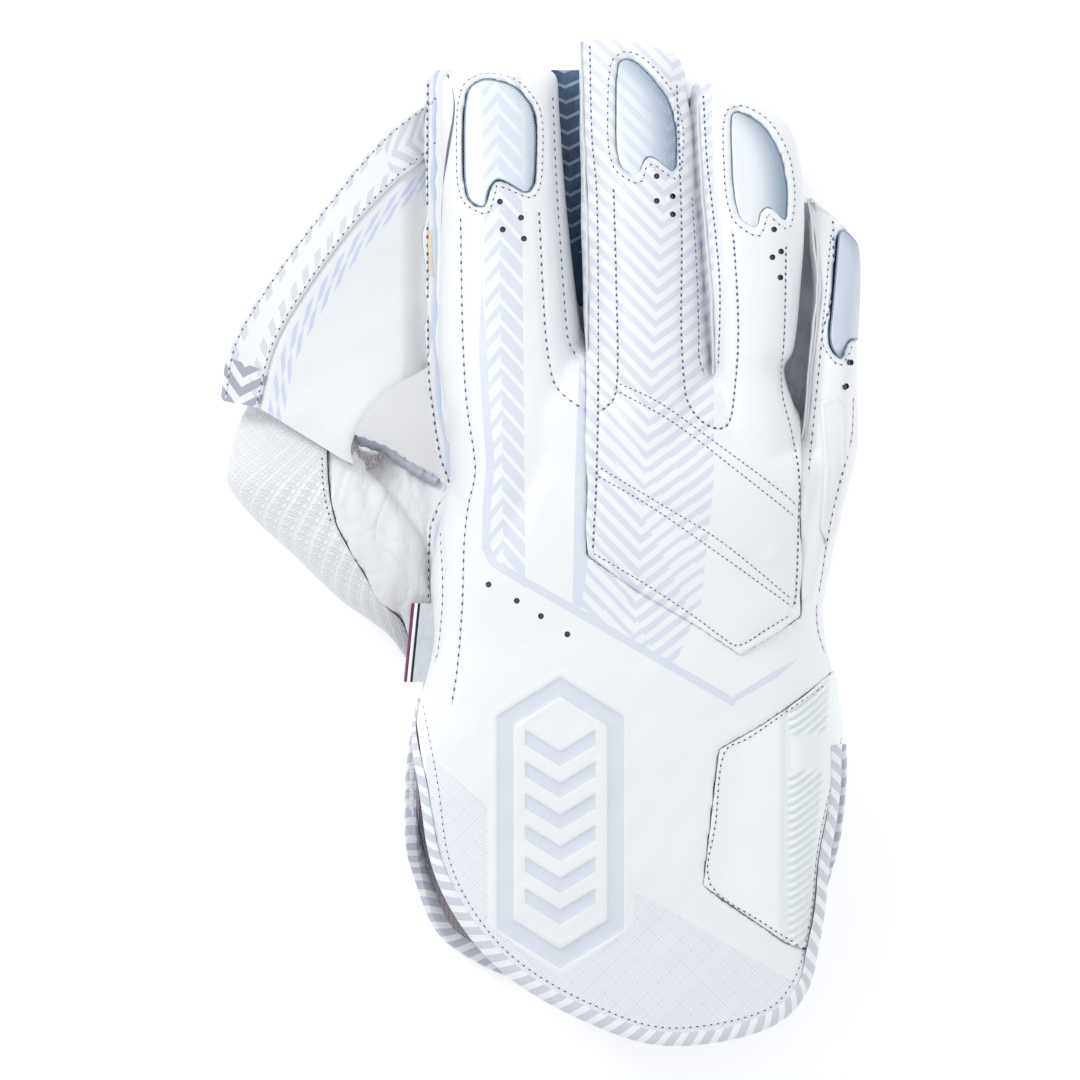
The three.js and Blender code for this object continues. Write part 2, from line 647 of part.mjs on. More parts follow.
// Finishes
function leather(color) {
  return new THREE.MeshStandardMaterial({ color, roughness: 0.55, metalness: 0 });
}
function moulded(color) {
  return new THREE.MeshStandardMaterial({ color, roughness: 0.25, metalness: 0 });
}
const WHITE_LEATHER = leather(0xf4f5f8);
const RUBBER = leather(0xe9edf1);
const ICE_BLUE = moulded(0xc9dbe6);
const GLOSS_WHITE = moulded(0xedf4f1);
const TRIM = leather(0xd8dae2);
const KNIT = leather(0x9c9096);
const SILVER = new THREE.MeshStandardMaterial({ color: 0xb9bcc2, roughness: 0.3, metalness: 0.8 });

const glove = new THREE.Group();

function addPiece(name, form, material) {
  const mesh = form.getMesh();
  const geometry = new THREE.BufferGeometry();
  geometry.setAttribute('position', new THREE.BufferAttribute(mesh.vertProperties, 3));
  geometry.setIndex(new THREE.BufferAttribute(mesh.triVerts, 1));
  const piece = new THREE.Mesh(geometry, material);
  piece.name = name;
  glove.add(piece);
}

addPiece('back_panel', backPanel, WHITE_LEATHER);
addPiece('flex_panel', knucklePanel, WHITE_LEATHER);
addPiece('palm_panel', palmPanel, RUBBER);
guardNames.forEach((name, place) => addPiece(`${name}_tip_guard`, guards[place], ICE_BLUE));
addPiece('thumb_back', thumbBack, WHITE_LEATHER);
addPiece('thumb_face', thumbFace, RUBBER);
addPiece('web_panel', web, WHITE_LEATHER);
addPiece('web_band', band, WHITE_LEATHER);
addPiece('crotch_binding', crotch, TRIM);
addPiece('index_seam', seam, WHITE_LEATHER);
addPiece('side_panel', sidePanel, GLOSS_WHITE);
addPiece('little_side_strip', sideStrip, WHITE_LEATHER);
addPiece('back_binding', backBinding, TRIM);
addPiece('palm_binding', palmBinding, TRIM);
addPiece('cuff_lining', lining, KNIT);
addPiece('label_tab', labelTab(), SILVER);

export default glove;
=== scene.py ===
"""A wicketkeeping glove for the right hand, lying palm down and seen from above.

The glove's forms are swept through the same few sections as its solids, fused, cut into the
sewn pieces and then given their seams, quilting, creases, stitches and finishes. Lengths in
this script are millimetres until a mesh is made, and meshes are in metres.
"""

from __future__ import annotations

import logging
import math
from dataclasses import dataclass
from enum import Enum
from functools import reduce
from typing import Any, Callable, Iterable, NamedTuple, Sequence

import bpy
import numpy as np
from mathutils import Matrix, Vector
from mathutils.bvhtree import BVHTree

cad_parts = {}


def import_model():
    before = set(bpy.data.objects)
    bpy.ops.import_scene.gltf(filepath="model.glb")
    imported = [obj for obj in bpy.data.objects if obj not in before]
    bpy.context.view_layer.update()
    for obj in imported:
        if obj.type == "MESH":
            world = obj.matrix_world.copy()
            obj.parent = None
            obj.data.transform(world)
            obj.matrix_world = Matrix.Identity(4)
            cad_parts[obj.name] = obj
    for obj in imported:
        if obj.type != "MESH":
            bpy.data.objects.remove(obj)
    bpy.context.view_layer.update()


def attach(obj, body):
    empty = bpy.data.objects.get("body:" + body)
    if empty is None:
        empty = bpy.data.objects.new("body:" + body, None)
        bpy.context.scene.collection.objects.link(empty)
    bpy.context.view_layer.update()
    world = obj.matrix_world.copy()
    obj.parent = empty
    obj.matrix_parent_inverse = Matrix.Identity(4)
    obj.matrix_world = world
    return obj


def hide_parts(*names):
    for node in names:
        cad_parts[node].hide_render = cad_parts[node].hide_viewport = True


log = logging.getLogger("glove")

MM = 0.001
LENGTH = 320.0
WIDTH = 204.0
HEIGHT = 62.0
LEATHER = 2.4
GAP = 0.3
PRESSED = 1.6
WALL_FULLNESS = 2.5
FLOOR_FULLNESS = 4.0
BEYOND = 400.0
MOUTH_OVERRUN = 12.0
BINDING_WIDTH = 5.0
TUCKED_EDGE = 2.8
MARKS = "marks"
WEB_END = -33.6
DROP_HEIGHT = 120.0

Point = tuple[float, float]


class Section(NamedTuple):
    """A section across the glove, in shares of its length, its width and its height."""

    y: float
    left: float
    right: float
    low: float
    high: float


class Strip(NamedTuple):
    """The two edges of a strip at one height of the glove, in shares of its sizes."""

    y: float
    left: float
    right: float


class Place(NamedTuple):
    """A point in shares of the glove's width, length and height."""

    x: float
    y: float
    z: float


HAND = tuple(map(Section._make, (
    (-0.519, -0.205, 0.449, 0.048, 0.758), (-0.457, -0.206, 0.446, 0.048, 0.806),
    (-0.398, -0.206, 0.446, 0.032, 0.855), (-0.338, -0.206, 0.457, 0, 0.903),
    (-0.233, -0.206, 0.476, 0, 0.968), (-0.153, -0.186, 0.465, 0, 1), (-0.099, -0.169, 0.446, 0.032, 1),
    (-0.033, -0.171, 0.442, 0.065, 1), (0.035, -0.15, 0.471, 0.097, 0.984),
    (0.07, -0.138, 0.481, 0.113, 0.95), (0.094, -0.141, 0.429, 0.113, 0.92),
    (0.129, -0.152, 0.392, 0.113, 0.871), (0.151, -0.108, 0.35, 0.129, 0.806),
    (0.173, -0.015, 0.172, 0.161, 0.71), (0.187, 0.048, 0.104, 0.226, 0.581),
)))
INDEX = tuple(map(Section._make, (
    (-0.02, -0.136, 0.079, 0.129, 0.903), (0.099, -0.143, 0.079, 0.113, 0.887),
    (0.175, -0.158, 0.072, 0.097, 0.806), (0.239, -0.158, 0.058, 0.081, 0.726),
    (0.338, -0.155, 0.041, 0.048, 0.597), (0.417, -0.155, 0.032, 0.016, 0.468),
    (0.452, -0.153, 0.029, 0, 0.371), (0.466, -0.149, 0.026, 0.016, 0.274),
    (0.472, -0.136, 0.013, 0.065, 0.194),
)))
MIDDLE = tuple(map(Section._make, (
    (-0.02, 0.069, 0.273, 0.129, 0.968), (0.099, 0.069, 0.272, 0.113, 0.935),
    (0.175, 0.074, 0.262, 0.097, 0.871), (0.288, 0.071, 0.247, 0.081, 0.742),
    (0.378, 0.069, 0.234, 0.048, 0.613), (0.437, 0.068, 0.225, 0.016, 0.5),
    (0.471, 0.068, 0.217, 0, 0.403), (0.485, 0.068, 0.191, 0, 0.339),
    (0.495, 0.069, 0.129, 0.032, 0.258), (0.5, 0.072, 0.085, 0.081, 0.177),
)))
RING = tuple(map(Section._make, (
    (-0.02, 0.25, 0.406, 0.129, 0.903), (0.099, 0.259, 0.401, 0.113, 0.871),
    (0.163, 0.267, 0.375, 0.097, 0.806), (0.186, 0.264, 0.39, 0.097, 0.79),
    (0.244, 0.256, 0.4, 0.081, 0.726), (0.311, 0.25, 0.407, 0.065, 0.629),
    (0.368, 0.245, 0.401, 0.032, 0.532), (0.406, 0.244, 0.386, 0, 0.435),
    (0.427, 0.244, 0.347, 0, 0.355), (0.441, 0.244, 0.297, 0.016, 0.274),
    (0.453, 0.247, 0.262, 0.081, 0.177),
)))
LITTLE = tuple(map(Section._make, (
    (-0.06, 0.359, 0.443, 0.097, 0.774), (0.02, 0.384, 0.468, 0.097, 0.774),
    (0.087, 0.401, 0.495, 0.081, 0.726), (0.139, 0.415, 0.496, 0.065, 0.677),
    (0.199, 0.421, 0.495, 0.048, 0.613), (0.254, 0.426, 0.499, 0.016, 0.516),
    (0.293, 0.42, 0.496, 0, 0.419), (0.316, 0.42, 0.474, 0, 0.339), (0.333, 0.42, 0.443, 0.016, 0.242),
    (0.343, 0.421, 0.429, 0.065, 0.161),
)))
THUMB = tuple(map(Section._make, (
    (-0.119, -0.21, -0.17, 0.032, 0.31), (-0.092, -0.242, -0.17, 0.016, 0.37),
    (-0.059, -0.314, -0.17, 0, 0.47), (-0.015, -0.386, -0.18, 0, 0.548),
    (0.013, -0.435, -0.195, 0, 0.548), (0.038, -0.471, -0.224, 0, 0.548),
    (0.06, -0.491, -0.255, 0, 0.532), (0.087, -0.485, -0.28, 0, 0.5), (0.114, -0.473, -0.295, 0, 0.452),
    (0.135, -0.457, -0.314, 0.016, 0.371), (0.147, -0.432, -0.345, 0.081, 0.258),
)))
GUSSET = tuple(map(Section._make, (
    (-0.119, -0.196, -0.108, 0.048, 0.33), (-0.06, -0.264, -0.108, 0.032, 0.355),
    (0, -0.295, -0.108, 0.032, 0.35), (0.044, -0.311, -0.108, 0.032, 0.339),
    (0.064, -0.319, -0.155, 0.048, 0.306), (0.078, -0.319, -0.202, 0.065, 0.274),
    (0.089, -0.311, -0.241, 0.097, 0.226),
)))

# Height of the side seam between back and palm: z is a share of the back's height.
SEAM = (
    (-0.56, 0.355), (0.099, 0.355), (0.239, 0.323), (0.338, 0.258), (0.417, 0.194), (0.477, 0.129),
    (0.56, 0.113),
)
# Sections of the layered seam that stands out beside the index stall.
INDEX_SEAM = tuple(map(Strip._make, (
    (-0.064, -0.178, -0.146), (-0.031, -0.178, -0.146), (0.01, -0.175, -0.139), (0.035, -0.161, -0.127),
    (0.055, -0.146, -0.114), (0.084, -0.16, -0.124), (0.129, -0.171, -0.136), (0.175, -0.178, -0.139),
    (0.307, -0.18, -0.139), (0.45, -0.18, -0.139), (0.471, -0.174, -0.139),
)))

# Edges of the web, from the index stall to the thumb: x is a share of the glove's width,
# y of its length and z of the back's height.
WEB_FREE_EDGE = tuple(map(Place._make, (
    (-0.17, 0.175, 0.371), (-0.224, 0.154, 0.452), (-0.258, 0.136, 0.51), (-0.283, 0.113, 0.55),
    (-0.295, 0.091, 0.558), (-0.29, 0.074, 0.536),
)))
BAND_INNER_EDGE = tuple(map(Place._make, (
    (-0.165, 0.392, 0.242), (-0.236, 0.35, 0.339), (-0.297, 0.307, 0.419), (-0.361, 0.25, 0.484),
    (-0.41, 0.195, 0.52), (-0.437, 0.131, 0.515),
)))
BAND_OUTER_EDGE = tuple(map(Place._make, (
    (-0.165, 0.449, 0.177), (-0.25, 0.403, 0.274), (-0.333, 0.338, 0.371), (-0.417, 0.266, 0.452),
    (-0.481, 0.198, 0.485), (-0.498, 0.139, 0.47),
)))
# Path of the binding in the crotch of the thumb.
CROTCH = tuple(map(Place._make, (
    (-0.286, 0.1, 0.26), (-0.242, 0.089, 0.29), (-0.203, 0.073, 0.32), (-0.16, 0.058, 0.345),
)))

# Outlines seen from above: x is a share of the glove's width, y of its length.
BACK_HEM = (
    (-0.217, -0.149), (-0.189, -0.239), (-0.169, -0.321), (-0.119, -0.384), (-0.044, -0.434),
    (0.072, -0.476), (0.197, -0.5), (0.353, -0.484), (0.42, -0.444), (0.449, -0.378),
    (0.462, -0.301), (0.499, -0.199),
)
PALM_HEM = (
    (-0.233, -0.149), (-0.214, -0.29), (-0.171, -0.386), (-0.11, -0.421), (-0.029, -0.444),
    (0.094, -0.463), (0.234, -0.471), (0.343, -0.457), (0.406, -0.429), (0.434, -0.388),
    (0.471, -0.288), (0.499, -0.199),
)
KNUCKLE_PANEL = (
    (0.054, 0.53), (0.054, 0.437), (0.058, 0.338), (0.066, 0.239), (0.074, 0.185), (0.074, -0.016),
    (0.308, -0.112), (0.403, -0.075), (0.401, 0.099), (0.409, 0.186), (0.414, 0.239),
    (0.414, 0.53),
)
SIDE_PANEL = (
    (0.276, -0.206), (0.345, -0.181), (0.431, -0.143), (0.54, -0.09), (0.54, -0.31), (0.44, -0.37),
    (0.415, -0.405), (0.381, -0.398), (0.252, -0.34),
)
TIP_GUARDS = {
    "index": (
        (-0.119, 0.425), (-0.112, 0.452), (-0.085, 0.461), (-0.038, 0.453), (-0.005, 0.425),
        (-0.009, 0.337), (-0.065, 0.36), (-0.08, 0.348), (-0.085, 0.326), (-0.118, 0.339),
    ),
    "middle": (
        (0.118, 0.473), (0.132, 0.481), (0.152, 0.476), (0.175, 0.461), (0.203, 0.437),
        (0.214, 0.403), (0.211, 0.358), (0.167, 0.384), (0.152, 0.355), (0.116, 0.371),
    ),
    "ring": (
        (0.295, 0.425), (0.312, 0.428), (0.35, 0.414), (0.378, 0.383), (0.387, 0.343),
        (0.382, 0.309), (0.357, 0.33), (0.343, 0.325), (0.339, 0.303), (0.301, 0.321),
    ),
    "little": (
        (0.467, 0.31), (0.484, 0.307), (0.52, 0.278), (0.52, 0.193), (0.484, 0.201),
        (0.474, 0.192), (0.467, 0.176), (0.448, 0.195), (0.456, 0.237), (0.462, 0.277),
    ),
}
SIDE_STRIP = (
    (0.432, 0.137), (0.459, 0.143), (0.474, 0.129), (0.477, 0.07), (0.465, 0.01), (0.446, -0.006),
    (0.434, 0.01), (0.44, 0.07),
)
# The seam between the thumb's rubber face, at its left, and its plain leather.
THUMB_SEAM = (
    (-0.328, 0.2), (-0.332, 0.081), (-0.322, 0.026), (-0.303, -0.003), (-0.247, -0.061),
    (-0.211, -0.087), (-0.19, -0.15),
)
LABEL_PLACE = Place(-0.16, -0.102, 0.48)

# Rows of stitches, vents and printed lines, in millimetres of the plan
INDEX_ROWS = (
    ((-25.2, 101.5), (-24.5, 66.8), (-23.2, 43.6), (-20.4, 22.9),
     (-22.6, 11.1), (-23.9, 0.0), (-24.5, -20.0), (-26.1, -40.4), (-28.0, -52.5)),
    ((-31.8, 4.5), (-30.8, -13.4), (-31.2, -23.9), (-32.4, -35.3), (-33.7, -39.4)),
    ((-0.3, 103.4), (1.6, 66.8), (3.5, 52.8), (5.4, 48.0), (7.6, 45.5), (11.4, 42.6), (14.3, 41.0)),
    ((4.1, 140.9), (5.4, 111.0), (8.3, 68.4), (9.9, 61.1), (12.4, 57.2)),
)
LITTLE_ROWS = (
    ((93.5, 101.4), (93.2, 83.0), (91.9, 74.1), (89.7, 65.8), (88.1, 50.9), (86.5, 35.9), (84.6, 20.0)),
    ((99.5, 44.5), (98.6, 31.8), (94.8, 18.4), (91.3, 3.2), (89.4, -9.5), (87.8, -20.7), (88.1, -28.6),
     (90.6, -36.6)),
)
STALL_ROWS = (
    ((15.9, 157.4), (16.5, 127.8), (18.1, 107.2), (18.4, 58.8), (17.8, 21.9), (16.5, -4.1)),
    ((23.3, 110.5), (24.0, 84.0), (24.5, 58.8), (24.2, 49.6), (23.2, 44.5),
     (19.7, 41.0), (18.1, 40.4)),
    ((43.6, 144.4), (44.5, 113.8), (44.8, 93.2), (44.5, 66.8), (45.5, 48.0), (47.4, 41.7),
     (51.5, 36.9), (56.6, 35.0), (59.8, 37.8), (61.4, 48.0), (62.6, 66.8), (61.4, 93.2),
     (60.6, 98.5)),
    ((48.3, 108.4), (49.6, 86.5), (50.2, 66.8), (50.2, 57.6), (52.2, 51.8)),
    ((52.2, 141.5), (53.1, 120.8), (55.3, 100.2), (56.9, 79.5), (56.3, 54.1)),
    ((77.9, 92.5), (77.3, 66.8), (76.3, 48.0), (79.5, 34.0), (81.4, 21.9), (81.7, 14.6), (81.4, 3.2),
     (80.8, -15.9), (79.8, -21.9)),
)
DOUBLE_ROWS = (
    ((25.4, 49.0), (38.5, 42.6), (57.6, 28.9), (76.3, 14.9), (81.1, 10.5)),
    ((23.9, 47.1), (42.9, 36.3), (64.9, 19.4), (80.8, 7.0)),
    ((19.4, 22.3), (39.1, 10.5), (57.6, -1.0), (79.5, -18.8)),
    ((18.8, 19.7), (35.6, 9.9), (57.6, -5.4), (79.5, -21.0)),
    ((17.2, -4.5), (32.8, -13.7), (47.7, -23.5), (57.2, -30.5), (62.6, -33.1), (71.5, -28.0),
     (79.2, -23.5)),
)
SIDE_ROWS = (
    ((89.4, -46.4), (79.5, -52.8), (65.5, -62.3), (57.6, -67.4), (55.3, -88.4), (53.4, -108.1),
     (70.0, -120.5), (84.6, -130.1)),
)
THUMB_ROW = (
    ((-69.3, 25.8), (-69.0, 19.4), (-68.1, 12.7), (-66.1, 4.5)),
)
VENTS = (
    (-12.7, 107.2), (-6.0, 102.1), (-11.8, 98.3), (-5.1, 95.4), (36.9, 115.1), (42.0, 108.8),
     (36.9, 107.2), (42.0, 103.0), (74.1, 98.3), (76.3, 91.3), (73.5, 89.4), (76.0, 83.0),
     (98.6, 56.3), (97.0, 48.7), (-16.2, -14.0), (-7.3, -19.1), (0.3, -23.9), (8.6, -29.6),
)
# Outlines of the gaps between the stalls, and paths of the seams that stand beside them
GAPS = {
    "index": (((3.6, 151.0), (6.0, 120.0), (8.0, 80.0), (13.0, 57.0)),
              ((15.5, 151.0), (15.6, 120.0), (16.0, 80.0), (15.6, 57.0))),
    "middle": (((46.2, 142.0), (49.0, 110.0), (52.0, 70.0), (54.2, 51.0)),
               ((51.0, 142.0), (54.0, 110.0), (56.0, 70.0), (55.6, 51.0))),
    "ring": (((82.0, 108.0), (81.5, 80.0), (79.0, 60.0), (76.0, 45.0), (80.5, 33.0)),
             ((88.0, 108.0), (88.5, 80.0), (87.0, 60.0), (86.0, 45.0), (83.0, 33.0))),
}
STANDING_SEAMS = {
    "middle": ((13.6, 159.4), (14.2, 138.0), (14.9, 116.8), (15.6, 95.7), (15.5, 57.0)),
    "ring": ((50.8, 145.4), (51.6, 120.8), (53.0, 100.8), (55.0, 75.0), (55.4, 52.0)),
    "little": ((86.6, 109.4), (88.6, 86.2), (88.7, 78.9), (86.2, 56.6), (85.0, 41.7), (83.6, 32.0)),
}


# Operators


def clear_selection() -> None:
    """Deselects every object and leaves edit mode."""
    if bpy.context.object and bpy.context.object.mode != "OBJECT":
        bpy.ops.object.mode_set(mode="OBJECT")
    bpy.ops.object.select_all(action="DESELECT")


def choose(*pieces: bpy.types.Object) -> None:
    """Selects the pieces alone and makes the last one active.

    Args:
        *pieces: the pieces.
    """
    clear_selection()
    for piece in pieces:
        piece.select_set(True)
    bpy.context.view_layer.objects.active = pieces[-1]


def modify(piece: bpy.types.Object, kind: str, **settings: Any) -> None:
    """Adds a modifier to a piece, sets it and applies it.

    Args:
        piece: the piece to change.
        kind: the modifier's type.
        **settings: values of the modifier's own properties.
    """
    choose(piece)
    modifier = piece.modifiers.new(kind.lower(), kind)
    for name, value in settings.items():
        setattr(modifier, name, value)
    bpy.ops.object.modifier_apply(modifier=modifier.name)


def cut(piece: bpy.types.Object, *tools: bpy.types.Object, operation: str = "DIFFERENCE") -> None:
    """Cuts a piece by other solids, one after another, and keeps the tools."""
    for tool in tools:
        modify(piece, "BOOLEAN", operation=operation, solver="MANIFOLD", object=tool)


def duplicate(piece: bpy.types.Object, name: str) -> bpy.types.Object:
    """Copies a piece with a mesh of its own.

    Args:
        piece: the piece.
        name: the new piece's name.

    Returns:
        The copy.
    """
    twin = piece.copy()
    twin.data = piece.data.copy()
    twin.name = name
    bpy.context.collection.objects.link(twin)
    return twin


def discard(*pieces: bpy.types.Object) -> None:
    """Removes helper solids and their meshes.

    Args:
        *pieces: the pieces.
    """
    for piece in pieces:
        mesh = piece.data
        bpy.data.objects.remove(piece)
        bpy.data.meshes.remove(mesh)


def joined(name: str, pieces: Sequence[bpy.types.Object]) -> bpy.types.Object:
    """Joins pieces to one object with a name.

    Args:
        name: the new piece's name.
        pieces: the pieces.

    Returns:
        The whole piece.
    """
    choose(*pieces)
    if len(pieces) > 1:
        bpy.ops.object.join()
    whole = bpy.context.object
    whole.name = name
    return whole


def positions(piece: bpy.types.Object) -> np.ndarray:
    """Vertices of a piece as rows of x, y, z in millimetres.

    Args:
        piece: the piece.

    Returns:
        A row for each vertex.
    """
    flat = np.empty(len(piece.data.vertices) * 3, np.float32)
    piece.data.vertices.foreach_get("co", flat)
    return flat.reshape(-1, 3).astype(float) / MM


def normals(piece: bpy.types.Object) -> np.ndarray:
    """Normals of a piece's vertices.

    Args:
        piece: the piece.

    Returns:
        A row for each vertex.
    """
    flat = np.empty(len(piece.data.vertices) * 3, np.float32)
    piece.data.vertex_normals.foreach_get("vector", flat)
    return flat.reshape(-1, 3).astype(float)


def move_vertices(piece: bpy.types.Object, points: np.ndarray) -> None:
    """Puts the vertices of a piece at points given in millimetres."""
    piece.data.vertices.foreach_set("co", (points * MM).astype(np.float32).ravel())
    piece.data.update()


def attribute(piece: bpy.types.Object, name: str, values: np.ndarray) -> None:
    """Keeps three numbers a vertex on a mesh, which a finish reads by name."""
    layer = piece.data.attributes.new(name, "FLOAT_VECTOR", "POINT")
    layer.data.foreach_set("vector", values.astype(np.float32).ravel())


# Swept forms


def smooth_rows(rows: np.ndarray, steps: int) -> np.ndarray:
    """Draws a smooth curve through rows of numbers.

    Args:
        rows: the rows to pass through.
        steps: how many stations one stretch between rows gets.

    Returns:
        The rows and the stations between them, in order.
    """
    ends = np.vstack([2 * rows[0] - rows[1], rows, 2 * rows[-1] - rows[-2]])
    t = np.linspace(0, 1, steps, endpoint=False)[:, None]
    stretches = [
        0.5 * (2 * b + (c - a) * t + (2 * a - 5 * b + 4 * c - d) * t**2 + (3 * b - a - 3 * c + d) * t**3)
        for a, b, c, d in zip(ends, ends[1:], ends[2:], ends[3:])
    ]
    return np.vstack([*stretches, rows[-1:]])


def seam_height(y: np.ndarray | float) -> np.ndarray:
    """Height of the side seam at a distance y along the glove."""
    along, height = np.array(SEAM).T
    return HEIGHT * np.interp(np.asarray(y) / LENGTH, along, height)


def turns(sides: int, start: float = 0.0) -> np.ndarray:
    """Evenly spaced angles of a full turn."""
    return 2 * np.pi * (np.arange(sides) + start) / sides


def blunted(values: np.ndarray, power: float) -> np.ndarray:
    """Values raised to a power that keep their sign, which squares a circle's sides."""
    return np.sign(values) * np.abs(values) ** power


def moving_mean(values: np.ndarray, reach: int) -> np.ndarray:
    """Averages each value of a row with its neighbours on both sides."""
    span = 2 * reach + 1
    return np.convolve(np.pad(values, reach, mode="edge"), np.ones(span) / span, "valid")


def dropped(spot: Sequence[float], surface: BVHTree) -> tuple[Vector | None, Vector | None]:
    """The highest spot of a surface over a point of the plan, and its normal."""
    return surface.ray_cast(Vector((*spot, DROP_HEIGHT)) * MM, Vector((0, 0, -1)))[:2]


def rings_of(rows: Sequence[Section], growth: float, sides: int, mouth: float, steps: int) -> np.ndarray:
    """Rounded sections of a form, pressed flat where it rests.

    Args:
        rows: the form's sections.
        growth: how far the form grows all round.
        sides: how many points one section gets.
        mouth: how far the first section moves along the glove.
        steps: how many stations one stretch gets.

    Returns:
        Points as an array of stations, sides and x, y, z.
    """
    y, left, right, low, high = smooth_rows(np.array(rows, float), steps).T[:, :, None]
    shift = np.where(y > rows[0].y, growth, mouth)
    floor = max(0.0, -growth)
    half = np.maximum(0.5, WIDTH * (right - left) / 2 + growth)
    top = np.maximum(floor + 1, HEIGHT * high + growth)
    bottom = HEIGHT * low - growth - PRESSED
    widest = np.clip(seam_height(LENGTH * y), floor, top)
    side, rise = np.cos(turns(sides)), np.sin(turns(sides))
    x = WIDTH * (left + right) / 2 + half * blunted(side, 2 / WALL_FULLNESS)
    upper = widest + (top - widest) * np.abs(rise) ** (2 / WALL_FULLNESS)
    lower = widest - (widest - bottom) * np.abs(rise) ** (2 / FLOOR_FULLNESS)
    z = np.maximum(floor, np.where(rise >= 0, upper, lower))
    return np.stack([x, np.broadcast_to(LENGTH * y + shift, x.shape), z], axis=-1)


def rolled(name: str, rings: np.ndarray, marks: np.ndarray | None = None) -> bpy.types.Object:
    """Rolls a grid up into a tube through rings of points.

    Args:
        name: the tube's name.
        rings: points as an array of stations, sides and x, y, z.
        marks: three numbers a point that the finish reads, in a like array.

    Returns:
        The tube, with its ends filled.
    """
    stations, sides, _ = rings.shape
    clear_selection()
    bpy.ops.mesh.primitive_grid_add(x_subdivisions=sides, y_subdivisions=stations - 1, size=2)
    tube = bpy.context.object
    tube.name = name
    flat = positions(tube)
    across = np.rint((flat[:, 0] * MM + 1) / 2 * sides).astype(int) % sides
    along = np.rint((flat[:, 1] * MM + 1) / 2 * (stations - 1)).astype(int)
    move_vertices(tube, rings[along, across])
    if marks is not None:
        attribute(tube, MARKS, marks[along, across])
    bpy.ops.object.mode_set(mode="EDIT")
    bpy.ops.mesh.select_all(action="SELECT")
    bpy.ops.mesh.remove_doubles(threshold=1e-6)
    bpy.ops.mesh.fill_holes(sides=0)
    bpy.ops.mesh.select_all(action="SELECT")
    bpy.ops.mesh.normals_make_consistent(inside=False)
    bpy.ops.object.mode_set(mode="OBJECT")
    return tube


def fused(name: str, pieces: Sequence[bpy.types.Object], voxel: float, smoothing: int) -> bpy.types.Object:
    """Fuses overlapping solids to one skin and relaxes it.

    Args:
        name: the new piece's name.
        pieces: the pieces.
        voxel: size of the remesh's cells.
        smoothing: rounds of smoothing.

    Returns:
        The fused piece.
    """
    whole = joined(name, pieces)
    modify(whole, "REMESH", mode="VOXEL", voxel_size=voxel * MM)
    modify(whole, "SMOOTH", factor=0.5, iterations=smoothing)
    return whole


def prism(name: str, outline: np.ndarray, lengthways: bool = False) -> bpy.types.Object:
    """Extrudes an outline to a cutting block.

    Args:
        name: the block's name.
        outline: its corners, as x and y, or as y and z for a block that runs across the glove.
        lengthways: whether the block runs along x instead of z.

    Returns:
        The block.
    """
    clear_selection()
    bpy.ops.mesh.primitive_circle_add(vertices=len(outline), fill_type="NGON")
    block = bpy.context.object
    block.name = name
    move_vertices(block, np.column_stack([outline, np.full(len(outline), -BEYOND)]))
    bpy.ops.object.mode_set(mode="EDIT")
    bpy.ops.mesh.select_all(action="SELECT")
    bpy.ops.mesh.extrude_region_move(TRANSFORM_OT_translate={"value": (0, 0, 2 * BEYOND * MM)})
    bpy.ops.mesh.select_all(action="SELECT")
    bpy.ops.mesh.normals_make_consistent(inside=False)
    bpy.ops.object.mode_set(mode="OBJECT")
    if lengthways:
        move_vertices(block, np.roll(positions(block), 1, axis=1))
    return block


def placed(outline: Sequence[Point]) -> np.ndarray:
    """An outline given in shares of the glove's size, in millimetres."""
    return np.array(outline) * (WIDTH, LENGTH)


def aside(points: np.ndarray, distance: float, closed: bool) -> np.ndarray:
    """Moves each point of an outline to its left-hand side by a distance.

    Args:
        points: the points, a row for each.
        distance: how far they move.
        closed: whether the last point joins the first.

    Returns:
        The moved points.
    """
    before = np.roll(points, 1, axis=0)
    after = np.roll(points, -1, axis=0)
    if not closed:
        before[0], after[-1] = points[0], points[-1]
    along = after - before
    along /= np.linalg.norm(along, axis=1)[:, None]
    return points + distance * np.column_stack([-along[:, 1], along[:, 0]])


def grown_outline(outline: Sequence[Point], growth: float) -> np.ndarray:
    """A closed outline in millimetres, grown by a distance on all sides.

    Args:
        outline: corners of the outline, in shares of the glove's sizes.
        growth: how far it is moved out, or in where negative.

    Returns:
        Its corners.
    """
    points = placed(outline)
    x, y = points.T
    area = np.sum(x * np.roll(y, -1) - np.roll(x, -1) * y) / 2
    return aside(points, -growth if area > 0 else growth, closed=True)


def window(outline: Sequence[Point], growth: float) -> np.ndarray:
    """The rounded outline of a tip guard, grown by a distance.

    Args:
        outline: corners of the outline, in shares of the glove's sizes.
        growth: how far it is moved out, or in where negative.

    Returns:
        Its corners.
    """
    points = grown_outline(outline, growth)
    for _ in range(2):
        after = np.roll(points, -1, axis=0)
        points = np.stack([points * 0.8 + after * 0.2, points * 0.2 + after * 0.8], axis=1).reshape(-1, 2)
    return points


def hem_curve(outline: Sequence[Point], inset: float = 0.0, steps: int = 8) -> np.ndarray:
    """The smooth hem of a cuff flap, moved into the flap by a distance."""
    return aside(smooth_rows(placed(outline), steps), inset, closed=False)


def past_hem(outline: Sequence[Point], inset: float) -> bpy.types.Object:
    """A block that holds everything past a hem.

    Args:
        outline: corners of the outline, in shares of the glove's sizes.
        inset: distance from the hem.

    Returns:
        The block.
    """
    hem = hem_curve(outline, inset, steps=4)
    corners = [(BEYOND, hem[-1, 1]), (BEYOND, -BEYOND), (-BEYOND, -BEYOND), (-BEYOND, hem[0, 1])]
    return prism("past_hem", np.vstack([hem, corners]))


